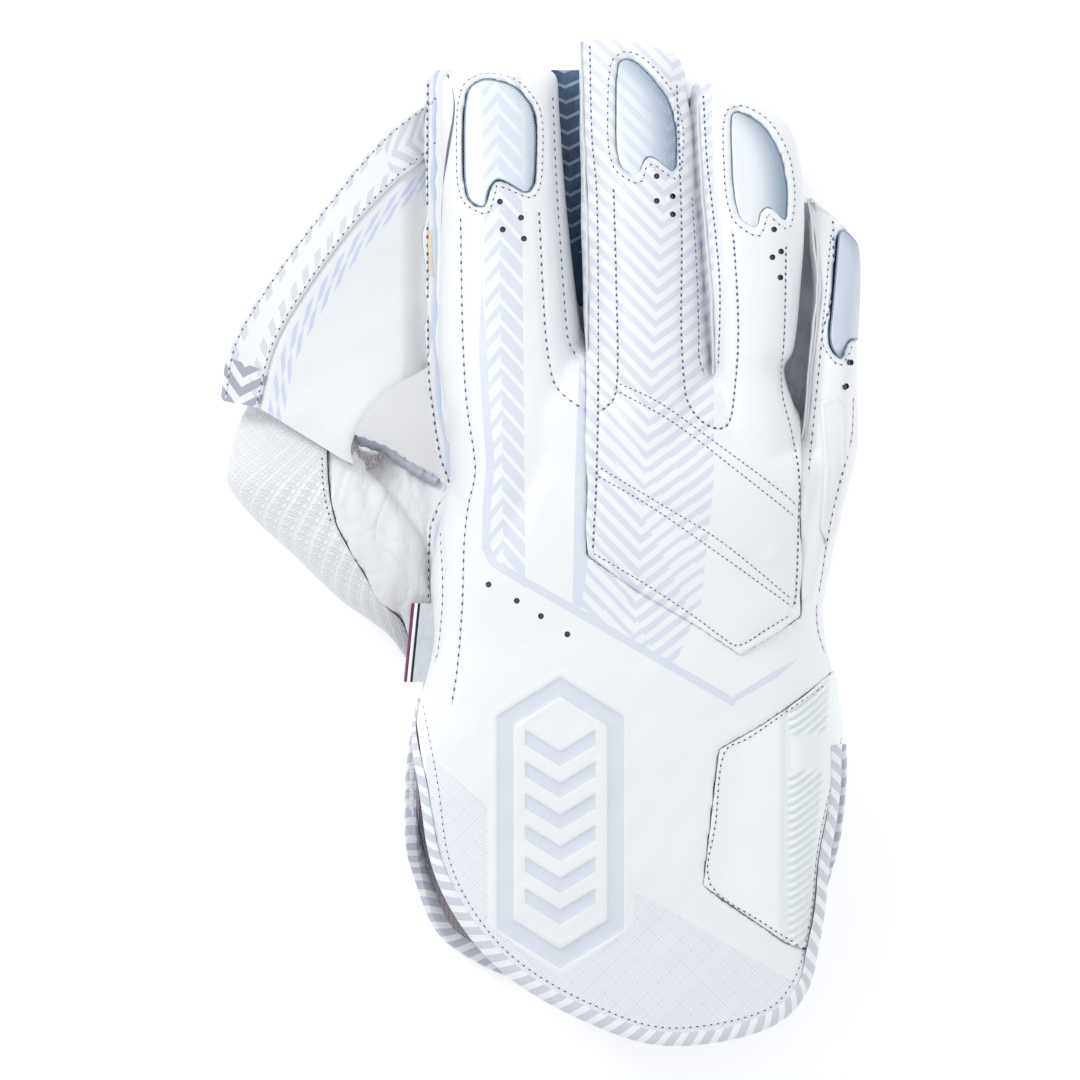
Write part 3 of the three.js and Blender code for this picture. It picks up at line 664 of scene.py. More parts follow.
def below_seam(rise: float) -> bpy.types.Object:
    """A block that holds everything below the side seam.

    Args:
        rise: how far above the seam it reaches.

    Returns:
        The block.
    """
    along, height = np.array(SEAM).T
    line = np.column_stack([LENGTH * along, HEIGHT * height + rise])[::-1]
    corners = [(line[-1, 0], -BEYOND), (line[0, 0], -BEYOND)]
    return prism("below_seam", np.vstack([line, corners]), lengthways=True)


class Forms:
    """The grown and shrunk forms that the pieces are cut from."""

    STALLS = {"index": INDEX, "middle": MIDDLE, "ring": RING, "little": LITTLE}
    HAND_SIDES = 72
    STALL_SIDES = 40
    STEPS = 5

    @classmethod
    def palm(cls, growth: float, finer: int = 1) -> bpy.types.Object:
        """The body of the hand with the cuff."""
        mouth = -MOUTH_OVERRUN if growth < 0 else 0.0
        return rolled("palm_form", rings_of(HAND, growth, cls.HAND_SIDES * finer, mouth, cls.STEPS * finer))

    @classmethod
    def stall(
        cls, rows: Sequence[Section], growth: float, finer: int = 1, mouth: float = 0.0,
    ) -> bpy.types.Object:
        """One stall, closed at its tip."""
        rings = rings_of(rows, growth, cls.STALL_SIDES * finer, mouth, cls.STEPS * finer)
        return rolled("stall_form", rings)

    @classmethod
    def hand(cls, growth: float, voxel: float, stalls: Iterable[str] = STALLS) -> bpy.types.Object:
        """The hand with some of its stalls, fused to one solid."""
        tubes = [cls.palm(growth), *(cls.stall(cls.STALLS[name], growth) for name in stalls)]
        return fused("hand_form", tubes, voxel, smoothing=6)

    @classmethod
    def thumb(cls, growth: float, voxel: float) -> bpy.types.Object:
        """The thumb stall with its gusset; a shrunk one also stops short of their ends.

        Args:
            growth: how far it grows all round, or shrinks where negative.
            voxel: size of the remesh's cells.

        Returns:
            The thumb's form.
        """
        mouth = min(growth, 0.0)
        tubes = [cls.stall(cls.shortened(rows, mouth), growth, mouth=mouth) for rows in (THUMB, GUSSET)]
        return fused("thumb_form", tubes, voxel, smoothing=8)

    @staticmethod
    def shortened(rows: Sequence[Section], growth: float) -> list[Section]:
        """Draws a shrunk stall's sections together lengthwise, and on by what it will be moved.

        Args:
            rows: the form's sections.
            growth: how far it grows all round, or shrinks where negative.

        Returns:
            The moved sections.
        """
        middle = (rows[0].y + rows[-1].y) / 2
        share = 1 + growth / (abs(rows[-1].y - rows[0].y) / 2 * LENGTH)
        return [Section(middle + (row.y - middle) * share - growth / LENGTH, *row[1:]) for row in rows]


def height_above(x: np.ndarray, y: np.ndarray, upper: bool) -> np.ndarray:
    """Height of the hand's surface over points of the plan.

    Args:
        x: distances across the glove.
        y: distances along the glove.
        upper: whether the back's surface is meant and not the palm's.

    Returns:
        The heights, that of the side seam where a point lies outside the hand.
    """
    rows = smooth_rows(np.array(HAND, float), Forms.STEPS)
    left, right, low, high = (np.interp(y / LENGTH, rows[:, 0], column) for column in rows.T[1:])
    half = WIDTH * (right - left) / 2
    share = np.clip(np.abs(x - WIDTH * (left + right) / 2) / half, 0, 1)
    widest = seam_height(y)
    rise = 1 - share**WALL_FULLNESS
    if upper:
        return widest + (HEIGHT * high - widest) * rise ** (1 / WALL_FULLNESS)
    return np.maximum(0, widest - (widest - HEIGHT * low + PRESSED) * rise ** (1 / FLOOR_FULLNESS))


# Relief


def distance_to(points: np.ndarray, path: np.ndarray, closed: bool = False) -> np.ndarray:
    """Distance in the plan from each point to a path of straight stretches.

    Args:
        points: the points, a row for each.
        path: the path, in the plan.
        closed: whether the last point joins the first.

    Returns:
        One distance for each point.
    """
    ends = np.vstack([path, path[:1]]) if closed else path
    nearest = np.full(len(points), np.inf)
    for start, end in zip(ends, ends[1:]):
        along = end - start
        share = np.clip((points - start) @ along / (along @ along), 0, 1)
        gap = points - start - share[:, None] * along
        nearest = np.minimum(nearest, np.hypot(*gap.T))
    return nearest


def ripples(points: np.ndarray, wavelength: float, seed: int, waves: int = 16) -> np.ndarray:
    """Gentle uneven waves of about unit height, made from seeded sines.

    Args:
        points: where they are wanted, as rows of coordinates.
        wavelength: their usual length.
        seed: which of many like surfaces is meant.
        waves: how many sines are summed.

    Returns:
        One height for each point.
    """
    draw = np.random.default_rng(seed)
    total = np.zeros(len(points))
    for _ in range(waves):
        heading = draw.normal(size=points.shape[1])
        heading *= 2 * np.pi / (wavelength * draw.uniform(0.6, 1.7) * np.linalg.norm(heading))
        total += np.sin(points @ heading + draw.uniform(0, 2 * np.pi))
    return total / math.sqrt(waves)


def creases(points: np.ndarray, wavelength: float, sharpness: float, seed: int) -> np.ndarray:
    """Thin valleys, from 0 on the plain skin to 1 at the bottom of a crease."""
    return np.exp(-((ripples(points, wavelength, seed) / sharpness) ** 2))


def blend_step(values: np.ndarray, start: float, end: float) -> np.ndarray:
    """Rises smoothly from 0 at start to 1 at end."""
    share = np.clip((values - start) / (end - start), 0, 1)
    return share * share * (3 - 2 * share)


def eased(piece: bpy.types.Object, values: np.ndarray, rounds: int) -> np.ndarray:
    """Averages values of a piece's vertices with their neighbours' several times.

    Args:
        piece: the piece.
        values: a row of values for each vertex.
        rounds: how many times.

    Returns:
        The averages.
    """
    ends = np.empty(len(piece.data.edges) * 2, np.int32)
    piece.data.edges.foreach_get("vertices", ends)
    first, second = ends.reshape(-1, 2).T
    total = len(values)
    shared = np.bincount(ends, minlength=total)[:, None].clip(1)
    for _ in range(rounds):
        sums = [np.bincount(first, column[second], total) + np.bincount(second, column[first], total)
                for column in values.T]
        values = (values + np.stack(sums, axis=1) / shared) / 2
    return values


class Relief:
    """Raises and sinks the outer skin of a piece along its normals."""

    def __init__(self, piece: bpy.types.Object) -> None:
        """Reads a piece whose outer skin looks up.

        Args:
            piece: the piece.
        """
        self.piece = piece
        self.points = positions(piece)
        self.normals = unit(eased(piece, normals(piece), 10))
        self.outer = blend_step(self.normals[:, 2], -0.05, 0.3)

    @property
    def plan(self) -> np.ndarray:
        """The vertices seen from above."""
        return self.points[:, :2]

    def push(self, heights: np.ndarray | float) -> None:
        """Moves the outer skin out by heights in millimetres."""
        self.points += self.normals * (heights * self.outer)[:, None]

    def groove(self, paths: Iterable[np.ndarray], depth: float, width: float, puff: float = 0.0) -> None:
        """Draws the skin in along rows of stitches and lets it swell beside them.

        Args:
            paths: the rows, in the plan.
            depth: how deep the stitches pull.
            width: how wide the valley is.
            puff: how far the padding swells away from the rows.
        """
        gap = np.full(len(self.points), np.inf)
        for path in paths:
            gap = np.minimum(gap, distance_to(self.plan, path))
        swell = 1 - np.exp(-((gap / PUFF_REACH) ** 2))
        self.push(puff * swell - depth * np.exp(-((gap / width) ** 2)))

    def welt(self, outlines: Iterable[np.ndarray], height: float, width: float) -> None:
        """Raises a soft rim along closed outlines.

        Args:
            outlines: the outlines, in the plan.
            height: how far the rim stands out.
            width: how wide it is.
        """
        for outline in outlines:
            gap = distance_to(self.plan, outline, closed=True)
            self.push(height * (1 - blend_step(gap, width * 0.6, width)))

    def relax(self, outlines: Iterable[np.ndarray], reach: float, rounds: int) -> None:
        """Evens the skin near closed outlines.

        Args:
            outlines: the outlines, in the plan.
            reach: how far from them the skin is evened.
            rounds: how many times.
        """
        even = eased(self.piece, self.points, rounds)
        for outline in outlines:
            gap = distance_to(self.plan, outline, closed=True)
            share = (1 - blend_step(gap, reach * 0.6, reach))[:, None]
            self.points += (even - self.points) * share

    def finish(self) -> None:
        """Writes the moved skin back to the piece."""
        move_vertices(self.piece, self.points)


PUFF_REACH = 6.0


def rows_of(table: Iterable[Sequence[Point]]) -> list[np.ndarray]:
    """The stitch rows of a table, smoothed."""
    return [smooth_rows(np.array(row), 4) for row in table]


# The sewn shells of the hand


@dataclass
class HandShells:
    """Back, knuckle panel, palm, tip guards and side insert, cut from the hand's forms."""

    voxel: float = 0.93
    supple: float = 0.8
    fine: float = 0.55
    coarse: float = 1.3
    panel_rise: float = 1.1
    guard_rise: float = 0.55
    thumb_wall: float = 4.4
    insert_rise: float = 0.5
    strip_rise: float = 1.5
    vent_radius: float = 0.95

    def build(self) -> dict[str, bpy.types.Object]:
        """Cuts the pieces and returns them by their nodes' names.

        Returns:
            The pieces by their nodes' names.
        """
        hollow = fused("hollow", [Forms.hand(-LEATHER, 1.6), Forms.thumb(-self.thumb_wall, 1.6)], 1.6, 2)
        hand = Forms.hand(0.0, self.voxel)
        self.skin = duplicate(hand, "skin")
        below = below_seam(GAP / 2)
        knuckles = prism("knuckles", grown_outline(KNUCKLE_PANEL, GAP))
        windows = {
            name: prism("window", window(outline, GAP))
            for name, outline in TIP_GUARDS.items()
        }
        side = prism("side", grown_outline(SIDE_PANEL, GAP))
        let_in = joined("let_in", [*windows.values(), side])
        pieces = {}

        back = duplicate(hand, "back_panel")
        back_edge = past_hem(BACK_HEM, TUCKED_EDGE)
        cut(back, hollow, below, knuckles, let_in, back_edge)
        pieces["back_panel"] = fused("back_panel", [back], self.voxel, 3)

        palm = duplicate(hand, "palm_panel")
        palm_edge = past_hem(PALM_HEM, TUCKED_EDGE)
        cut(palm, hollow)
        cut(palm, below, operation="INTERSECT")
        cut(palm, palm_edge)
        pieces["palm_panel"] = fused("palm_panel", [palm], self.coarse, 2)

        flex = Forms.hand(self.panel_rise, self.supple, ("middle", "ring"))
        cut(flex, hollow, below)
        knuckle_block = prism("knuckle_block", placed(KNUCKLE_PANEL))
        cut(flex, knuckle_block, operation="INTERSECT")
        cut(flex, let_in)
        pieces["flex_panel"] = fused("flex_panel", [flex], self.supple, 5)

        for name, outline in TIP_GUARDS.items():
            guard = Forms.stall(Forms.STALLS[name], self.guard_rise, finer=3)
            pane = prism("pane", window(outline, 0.0))
            cut(guard, hollow, below)
            cut(guard, pane, operation="INTERSECT")
            node = f"{name}_tip_guard"
            pieces[node] = fused(node, [guard], self.fine, 3)
            discard(pane)

        insert = Forms.palm(self.insert_rise, finer=2)
        insert_block = prism("insert_block", placed(SIDE_PANEL))
        insert_edge = past_hem(BACK_HEM, BINDING_WIDTH + GAP)
        cut(insert, hollow, below, insert_edge)
        cut(insert, insert_block, operation="INTERSECT")
        pieces["side_panel"] = fused("side_panel", [insert], self.fine, 3)

        strip = fused("strip", [Forms.palm(self.strip_rise), Forms.stall(LITTLE, self.strip_rise)], 0.9, 4)
        strip_block = prism("strip_block", placed(SIDE_STRIP))
        cut(strip, hand, below)
        cut(strip, strip_block, operation="INTERSECT")
        pieces["little_side_strip"] = fused("little_side_strip", [strip], self.fine, 4)

        self.hollow = hollow
        discard(below, knuckles, let_in, back_edge, palm_edge, knuckle_block)
        discard(insert_block, insert_edge, strip_block, hand)
        return pieces

    def perforate(self, back: bpy.types.Object, flex: bpy.types.Object) -> None:
        """Drills the round vent holes through the sculpted leather.

        Args:
            back: the back's leather.
            flex: the knuckle panel's leather.
        """
        vents = self.drills()
        cut(back, vents)
        cut(flex, vents)
        discard(vents)

    def drills(self) -> bpy.types.Object:
        """Drills for the vent holes.

        Returns:
            The drills as one piece.
        """
        drills = []
        for x, y in VENTS:
            clear_selection()
            bpy.ops.mesh.primitive_cylinder_add(
                vertices=20, radius=self.vent_radius * MM, depth=0.2, location=(x * MM, y * MM, 0.1)
            )
            drills.append(bpy.context.object)
        choose(*drills)
        bpy.ops.object.transform_apply(location=True)
        return joined("vents", drills)


@dataclass
class Thumb:
    """The thumb stall: plain creased leather beside a rubber face."""

    voxel: float = 0.8

    def build(self, skin: bpy.types.Object, hollow: bpy.types.Object) -> dict[str, bpy.types.Object]:
        """Cuts the thumb's two pieces clear of the hand.

        Args:
            skin: the hand's outer skin.
            hollow: the space in the glove.

        Returns:
            The two pieces by their nodes' names.
        """
        shell = Forms.thumb(0.0, self.voxel)
        cut(shell, hollow, skin)
        seam = smooth_rows(placed(THUMB_SEAM), 4)
        corners = [(-BEYOND, -BEYOND), (-BEYOND, BEYOND)]
        face_block = prism("face_block", np.vstack([seam, corners]))
        gap_block = prism("gap_block", np.vstack([aside(seam, GAP, False), corners]))
        face = duplicate(shell, "thumb_face")
        cut(face, face_block, operation="INTERSECT")
        cut(shell, gap_block)
        discard(face_block, gap_block)
        return {
            "thumb_face": fused("thumb_face", [face], self.voxel, 2),
            "thumb_back": fused("thumb_back", [shell], self.voxel, 2),
        }


# Edges, web and trim


def edge_line(rows: Sequence[Place], steps: int = 10) -> np.ndarray:
    """A smooth line through places of the glove, in millimetres."""
    return smooth_rows(np.array(rows), steps) * (WIDTH, LENGTH, HEIGHT)


def lengths_along(points: np.ndarray) -> np.ndarray:
    """Distance run at each point of a line."""
    return np.concatenate([[0], np.cumsum(np.linalg.norm(np.diff(points, axis=0), axis=1))])


def resampled(points: np.ndarray, count: int) -> np.ndarray:
    """A line with a number of evenly spaced points.

    Args:
        points: the points, a row for each.
        count: how many points.

    Returns:
        The points.
    """
    run = lengths_along(points)
    even = np.linspace(0, run[-1], count)
    return np.column_stack([np.interp(even, run, column) for column in points.T])


def unit(vectors: np.ndarray) -> np.ndarray:
    """Vectors of length one."""
    return vectors / np.linalg.norm(vectors, axis=-1, keepdims=True)


@dataclass
class Slab:
    """A sheet of leather between two edges, with rounded rims."""

    near: Sequence[Place]
    far: Sequence[Place]
    thickness: float
    along: int = 90
    across: int = 40

    TUCK = (-45.0, -36.0)

    def middle(self) -> tuple[np.ndarray, np.ndarray, np.ndarray]:
        """Its middle surface, that surface's normals and its own coordinates in millimetres.

        Returns:
            The surface's points, its normals and the marks.
        """
        near, far = (self.clear(edge_line(rows, 30)) for rows in (self.near, self.far))
        share = np.linspace(0, 1, self.across)[None, :, None]
        surface = near[:, None] * (1 - share) + far[:, None] * share
        surface = self.shaped(surface)
        along = np.gradient(surface, axis=0)
        across = np.gradient(surface, axis=1)
        run = np.linalg.norm(np.diff(surface, axis=0, prepend=surface[:1]), axis=2).cumsum(axis=0)
        reach = np.linalg.norm(np.diff(surface, axis=1, prepend=surface[:, :1]), axis=2).cumsum(axis=1)
        normal = unit(np.cross(along, across))
        normal *= np.sign(normal[..., 2:3].mean())
        even_run = np.broadcast_to(run.mean(axis=1)[:, None], reach.shape)
        marks = np.stack([even_run, reach, reach[:, -1:] - reach], axis=-1)
        return surface, normal, marks

    def clear(self, edge: np.ndarray) -> np.ndarray:
        """The part of an edge that shows beside the layered seam."""
        return resampled(edge[edge[:, 0] < WEB_END], self.along)

    def shaped(self, surface: np.ndarray) -> np.ndarray:
        """Tucks the end of the sheet under the layered seam.

        Args:
            surface: the surface.

        Returns:
            The tucked surface.
        """
        under = blend_step(surface[..., 0], *self.TUCK)
        low = seam_height(surface[..., 1]) - self.thickness / 2 - 1.5
        surface = surface.copy()
        surface[..., 2] += (low - surface[..., 2]) * under
        return surface

    def row(self, share: float) -> np.ndarray:
        """A row of stitches part of the way across the sheet, in the plan."""
        surface, _, _ = self.middle()
        return surface[:, int(share * (self.across - 1)), :2]

    @property
    def length(self) -> float:
        """How far the sheet runs along its middle."""
        return float(self.middle()[2][..., 0].max())

    def build(self, name: str) -> bpy.types.Object:
        """Gives the sheet its thickness.

        Args:
            name: the new piece's name.

        Returns:
            The piece.
        """
        surface, normal, marks = self.middle()
        rim = np.sqrt(np.clip(1 - np.linspace(-1, 1, self.across) ** 24, 0.05, 1))[None, :, None]
        lift = normal * self.thickness / 2 * rim
        rings = np.concatenate([surface + lift, (surface - lift)[:, ::-1]], axis=1)
        return rolled(name, rings, np.concatenate([marks, marks[:, ::-1]], axis=1))


@dataclass
class Web(Slab):
    """The catching web, hollowed a little and turned under at its free edge."""

    sag: float = 2.2

    def shaped(self, surface: np.ndarray) -> np.ndarray:
        """Lets the web sag between its edges and adds soft folds.

        Args:
            surface: the surface.

        Returns:
            The shaped surface.
        """
        along = np.linspace(0, 1, self.along)[:, None]
        across = np.linspace(0, 1, self.across)[None, :]
        hollow = np.sin(np.pi * along) * np.sin(np.pi * across) * self.sag
        fold = ripples(surface.reshape(-1, 3)[:, :2] * (0.5, 1), 16, seed=31).reshape(hollow.shape)
        turn = np.exp(-across / 0.05) * blend_step(along, 0.45, 1.0)
        surface = surface.copy()
        surface[..., 2] += 0.35 * fold * np.sin(np.pi * across) - hollow - 2.5 * turn
        return super().shaped(surface)


@dataclass
class Binding:
    """Striped tape folded round the edge of a cuff flap."""

    outline: Sequence[Point]
    upper: bool
    stations: int = 260

    BRIM = 5.2
    OVERLAP = 1.7

    PROFILE = np.array([
        (-5.0, 0.1), (-4.7, 0.65), (-3.6, 0.95), (-2.2, 1.0), (-0.9, 0.85), (-0.15, 0.3), (0.0, -0.6),
        (0.0, -1.8), (-0.15, -2.7), (-0.9, -3.25), (-2.2, -3.4), (-3.6, -3.35), (-4.7, -3.05),
        (-5.0, -2.5), (-1.5, -2.45), (-1.3, -1.2), (-1.5, 0.0),
    ])

    def build(self, name: str, skin: BVHTree) -> bpy.types.Object:
        """Sweeps the tape's section along the hem.

        Args:
            name: the piece's name.
            skin: the hand's outer skin, in metres.

        Returns:
            The tape, marked with the run along it and across it.
        """
        hem = resampled(hem_curve(self.outline, 0.0, 12), self.stations)
        height = height_above(hem[:, 0], hem[:, 1], self.upper)
        guide = np.column_stack([hem, height])
        found = [skin.find_nearest(Vector(point * MM)) for point in guide]
        line = np.array([spot[0] for spot in found]) / MM
        normal = np.array([spot[1] for spot in found])
        line, normal = self.evened(line), unit(self.evened(normal))
        if self.upper:
            line, normal = self.lifted(hem, line, normal, skin)
        tangent = unit(np.gradient(line, axis=0))
        outward = unit(np.cross(tangent, normal))
        outward *= np.sign(np.median(outward[:, 1])) * -1
        normal = unit(np.cross(outward, tangent))
        normal *= np.sign(np.median(normal[:, 2])) * (1 if self.upper else -1)
        reach, rise = self.PROFILE.T[:, None, :, None]
        rings = line[:, None] + outward[:, None] * reach + normal[:, None] * rise
        rings[..., 2] = np.maximum(rings[..., 2], 0.1)
        across, above = self.PROFILE.T[:, None]
        marks = np.stack(np.broadcast_arrays(lengths_along(line)[:, None], across, above), axis=-1)
        return rolled(name, rings, marks)

    def lifted(
        self, hem: np.ndarray, line: np.ndarray, normal: np.ndarray, skin: BVHTree,
    ) -> tuple[np.ndarray, np.ndarray]:
        """Lets the tape stand out level where the hand's side falls away steeply.

        Args:
            hem: the hem in the plan.
            line: the spots of the skin beside it.
            normal: the skin's directions there.
            skin: the hand's outer skin, in metres.

        Returns:
            The spots and the directions for the tape.
        """
        rows = smooth_rows(np.array(HAND, float), Forms.STEPS)
        side = WIDTH * np.interp(hem[:, 1] / LENGTH, rows[:, 0], rows[:, 2])
        hem = np.column_stack([np.minimum(hem[:, 0], side), hem[:, 1]])
        inward = unit(hem.mean(axis=0) - hem) * self.BRIM
        found = [dropped(spot, skin)[0] for spot in hem + inward]
        high = np.array([spot[2] / MM if spot else low for spot, low in zip(found, line[:, 2])])
        steep = (1 - blend_step(normal[:, 2], 0.3, 0.75))[:, None] * (hem[:, :1] > 0)
        level = np.column_stack([hem - (self.OVERLAP, 0), high - 1.6])
        line = self.evened(line + (level - line) * steep)
        normal = unit(self.evened(normal + steep * (0.3, 0.0, 1.2)))
        return line, normal

    @staticmethod
    def evened(rows: np.ndarray, window: int = 9) -> np.ndarray:
        """Running mean of rows, with the ends held.

        Args:
            rows: the rows of numbers.
            window: how many rows are averaged.

        Returns:
            The averages.
        """
        padded = np.pad(rows, ((window // 2, window // 2), (0, 0)), mode="edge")
        kernel = np.ones(window) / window
        return np.column_stack([np.convolve(column, kernel, "valid") for column in padded.T])


@dataclass
class LayeredSeam:
    """Raw edges of four skins that stand out beside the index stall, with a dark cord of painted shadow
    beside them.
    """

    layers: int = 4
    skin: float = 1.05
    pitch: float = 1.3
    step: float = 1.25
    wave: float = 0.6
    rise: float = 1.4

    FOLD = (
        (-29.5, 149.0), (-27.8, 144.0), (-27.2, 139.5), (-27.6, 134.0), (-29.4, 124.0), (-30.9, 110.0),
        (-31.6, 98.0), (-32.2, 88.0), (-32.6, 74.0),
    )

    def build(self, name: str, skin: BVHTree) -> bpy.types.Object:
        """Stacks the skins, the lowest reaching furthest out, with a dark cord beside them that paints the
        shadow of the fold.
        """
        return joined(name, [self.layer(place) for place in range(self.layers)] + [self.crease(skin)])

    def crease(self, skin: BVHTree) -> bpy.types.Object:
        """A thin dark cord that paints the shadow in the fold between the seam and the stall, laid on the
        skin.

        Args:
            skin: the hand's outer skin.

        Returns:
            The fold.
        """
        line = resampled(smooth_rows(np.array(self.FOLD), 6), 90)
        found = [dropped(spot, skin)[0] for spot in line]
        high = np.array([spot[2] / MM if spot else 0.0 for spot in found])
        kept = high > seam_height(line[:, 1]) + 1.0
        line, high = line[kept], high[kept]
        level = moving_mean(high, 3) + 0.1
        share = np.linspace(0, 1, len(line))
        size = 0.42 * (1 - blend_step(share, 0.55, 1.0) * 0.9)
        x = line[:, :1] + size[:, None] * np.cos(turns(8))
        z = level[:, None] + size[:, None] * np.sin(turns(8))
        rings = np.stack([x, np.broadcast_to(line[:, 1:], x.shape), z], axis=-1)
        return rolled("seam_painted_shadow", rings, np.full(rings.shape, float(self.layers)))

    @staticmethod
    def row() -> np.ndarray:
        """The row of stitches through the lowest skin."""
        y, left, _ = (smooth_rows(np.array(INDEX_SEAM), 12) * (LENGTH, WIDTH, WIDTH)).T
        return np.column_stack([left + 0.75, y])

    def layer(self, place: int) -> bpy.types.Object:
        """One skin, counted from the top.

        Args:
            place: which skin it is.

        Returns:
            The skin.
        """
        y, left, right = (smooth_rows(np.array(INDEX_SEAM), 12) * (LENGTH, WIDTH, WIDTH)).T
        wobble = ripples(np.column_stack([y, np.full_like(y, 37.0 * place)]), 14, seed=50 + place)
        outer = left + self.step * (self.layers - 1 - place) + self.wave * wobble
        inner = right + 2.0
        drift = 0.25 * ripples(np.column_stack([y, y * 0]), 22, seed=60 + place)
        height = seam_height(y) + self.rise + self.pitch * ((self.layers - 1) / 2 - place) + drift
        across = blunted(np.cos(turns(16, 0.5)), 0.35)
        rise = blunted(np.sin(turns(16, 0.5)), 0.7)
        x = ((outer + inner) / 2)[:, None] + ((inner - outer) / 2)[:, None] * across
        z = height[:, None] + self.skin / 2 * rise
        rings = np.stack([x, np.broadcast_to(y[:, None], x.shape), z], axis=-1)
        marks = np.broadcast_to(np.array([place, 0.0, 0.0]), rings.shape)
        return rolled("skin_layer", rings, marks)


@dataclass
class StandingSeam:
    """The folded leather edge that stands along the left shoulder of a stall."""

    path: Sequence[Point]
    stall: Sequence[Section]
    growth: float = 0.0
    width: float = 1.5
    tall: float = 3.4
    stations: int = 130

    def build(self, name: str) -> bpy.types.Object:
        """Sweeps two folded skins side by side along the stall."""
        return joined(name, [self.fold(-0.5), self.fold(0.5)])

    def shoulder(self, line: np.ndarray) -> np.ndarray:
        """Height of the stall's skin along a line of the plan.

        Args:
            line: the line, in the plan.

        Returns:
            One height for each point.
        """
        table = smooth_rows(np.array(self.stall, float), Forms.STEPS)
        shares = line[:, 1] / LENGTH
        left, right, high = (np.interp(shares, table[:, 0], table[:, place]) for place in (1, 2, 4))
        half = WIDTH * (right - left) / 2 + self.growth
        share = np.clip(np.abs(line[:, 0] + 0.6 - WIDTH * (left + right) / 2) / half, 0, 0.985)
        seam = seam_height(line[:, 1])
        rise = (1 - share**WALL_FULLNESS) ** (1 / WALL_FULLNESS)
        return seam + (HEIGHT * high + self.growth - seam) * rise

    def fold(self, side: float) -> bpy.types.Object:
        """One skin; side is its place across the seam, in widths.

        Args:
            side: its place across the seam, in widths.

        Returns:
            The fold.
        """
        line = resampled(smooth_rows(np.array(self.path), 8), self.stations)
        wobble = 0.14 * ripples(line * (0.2, 1), 11, seed=70 + int(4 * side + abs(line[0, 0])))
        height = moving_mean(self.shoulder(line), 8)
        across = self.width * (side * 0.6 + 0.33 * np.cos(turns(14)))
        upright = self.tall / 2 * blunted(np.sin(turns(14)), 0.7)
        x = line[:, :1] + wobble[:, None] + across - 0.18 * upright
        z = height[:, None] + upright - 0.7 * side
        return rolled("seam_fold", np.stack([x, np.broadcast_to(line[:, 1:], x.shape), z], axis=-1))


@dataclass
class FingerGusset:
    """Creased leather that closes the gap between two stalls."""

    left: Sequence[Point]
    right: Sequence[Point]
    depth: float
    seed: int
    along: int = 130
    across: int = 16

    def build(self, name: str) -> bpy.types.Object:
        """Hangs a sagging sheet between the two sides of the gap.

        Args:
            name: the new piece's name.

        Returns:
            The piece.
        """
        near = resampled(smooth_rows(np.array(self.left), 6), self.along)
        far = resampled(smooth_rows(np.array(self.right), 6), self.along)
        share = np.linspace(0, 1, self.across)[None, :]
        plan = near[:, None] * (1 - share[..., None]) + far[:, None] * share[..., None]
        flat = plan.reshape(-1, 2)
        fold = ripples(flat * (1.6, 0.5), 6, seed=self.seed).reshape(share.shape[0] * self.along, -1)
        sag = 1.8 * np.sin(np.pi * share)
        height = seam_height(plan[..., 1]) * self.depth - sag + 0.45 * fold
        surface = np.concatenate([plan, np.maximum(height, 1.5)[..., None]], axis=-1)
        under = surface - (0, 0, 1.2)
        run = np.broadcast_to(plan[..., 1], height.shape)
        marks = np.stack([run, np.broadcast_to(share, height.shape), height], axis=-1)
        rings = np.concatenate([surface, under[:, ::-1]], axis=1)
        return rolled(name, rings, np.concatenate([marks, marks[:, ::-1]], axis=1))


@dataclass
class TurnedLip:
    """The web's free edge, rolled over beside the crotch to show its suede."""

    stations: int = 40

    EDGE = ((-60.0, 33.5), (-60.4, 28.0), (-59.0, 24.0), (-55.6, 22.2), (-51.5, 23.2), (-49.6, 26.2))
    HEART = ((-58.2, 33.4), (-57.6, 29.5), (-56.4, 27.4), (-54.2, 26.8), (-51.9, 27.4), (-50.0, 28.8))

    def build(self, name: str) -> bpy.types.Object:
        """Sweeps a shallow bowl round the turn of the edge.

        Args:
            name: the new piece's name.

        Returns:
            The piece.
        """
        rim = resampled(smooth_rows(np.array(self.EDGE), 8), self.stations)
        heart = resampled(smooth_rows(np.array(self.HEART), 8), self.stations)
        share = np.linspace(0, 1, 14)[None, :, None]
        plan = rim[:, None] * (1 - share) + heart[:, None] * share
        lift = np.linspace(32.5, 23.0, self.stations)[:, None]
        waves = ripples(plan.reshape(-1, 2), 3, 77).reshape(plan.shape[:2])
        height = lift - 2.6 * np.sin(np.pi * share[..., 0] * 0.8) + 0.2 * waves
        surface = np.concatenate([plan, height[..., None]], axis=-1)
        rings = np.concatenate([surface, surface[:, ::-1] - (0, 0, 1.3)], axis=1)
        return rolled(name, rings)


@dataclass
class CrotchBinding:
    """Gathered binding in the crotch of the thumb."""

    radius: float = 1.7
    scallop: float = 0.45
    pitch: float = 3.6

    def build(self, name: str) -> bpy.types.Object:
        """Sweeps a round section whose size swells between stitches.

        Args:
            name: the new piece's name.

        Returns:
            The piece.
        """
        line = resampled(edge_line(CROTCH, 16), 120)
        run = lengths_along(line)
        line[:, 2] += 0.5 * np.sin(run * 2 * np.pi / (2.6 * self.pitch))
        tangent = unit(np.gradient(line, axis=0))
        side = unit(np.cross(tangent, (0, 0, 1)))
        above = np.cross(side, tangent)
        size = self.radius - self.scallop * np.abs(np.cos(np.pi * run / self.pitch))
        across, upright = np.cos(turns(16)), np.sin(turns(16))
        ring = side[:, None] * across[None, :, None] + above[:, None] * upright[None, :, None]
        return rolled(name, line[:, None] + ring * size[:, None, None])


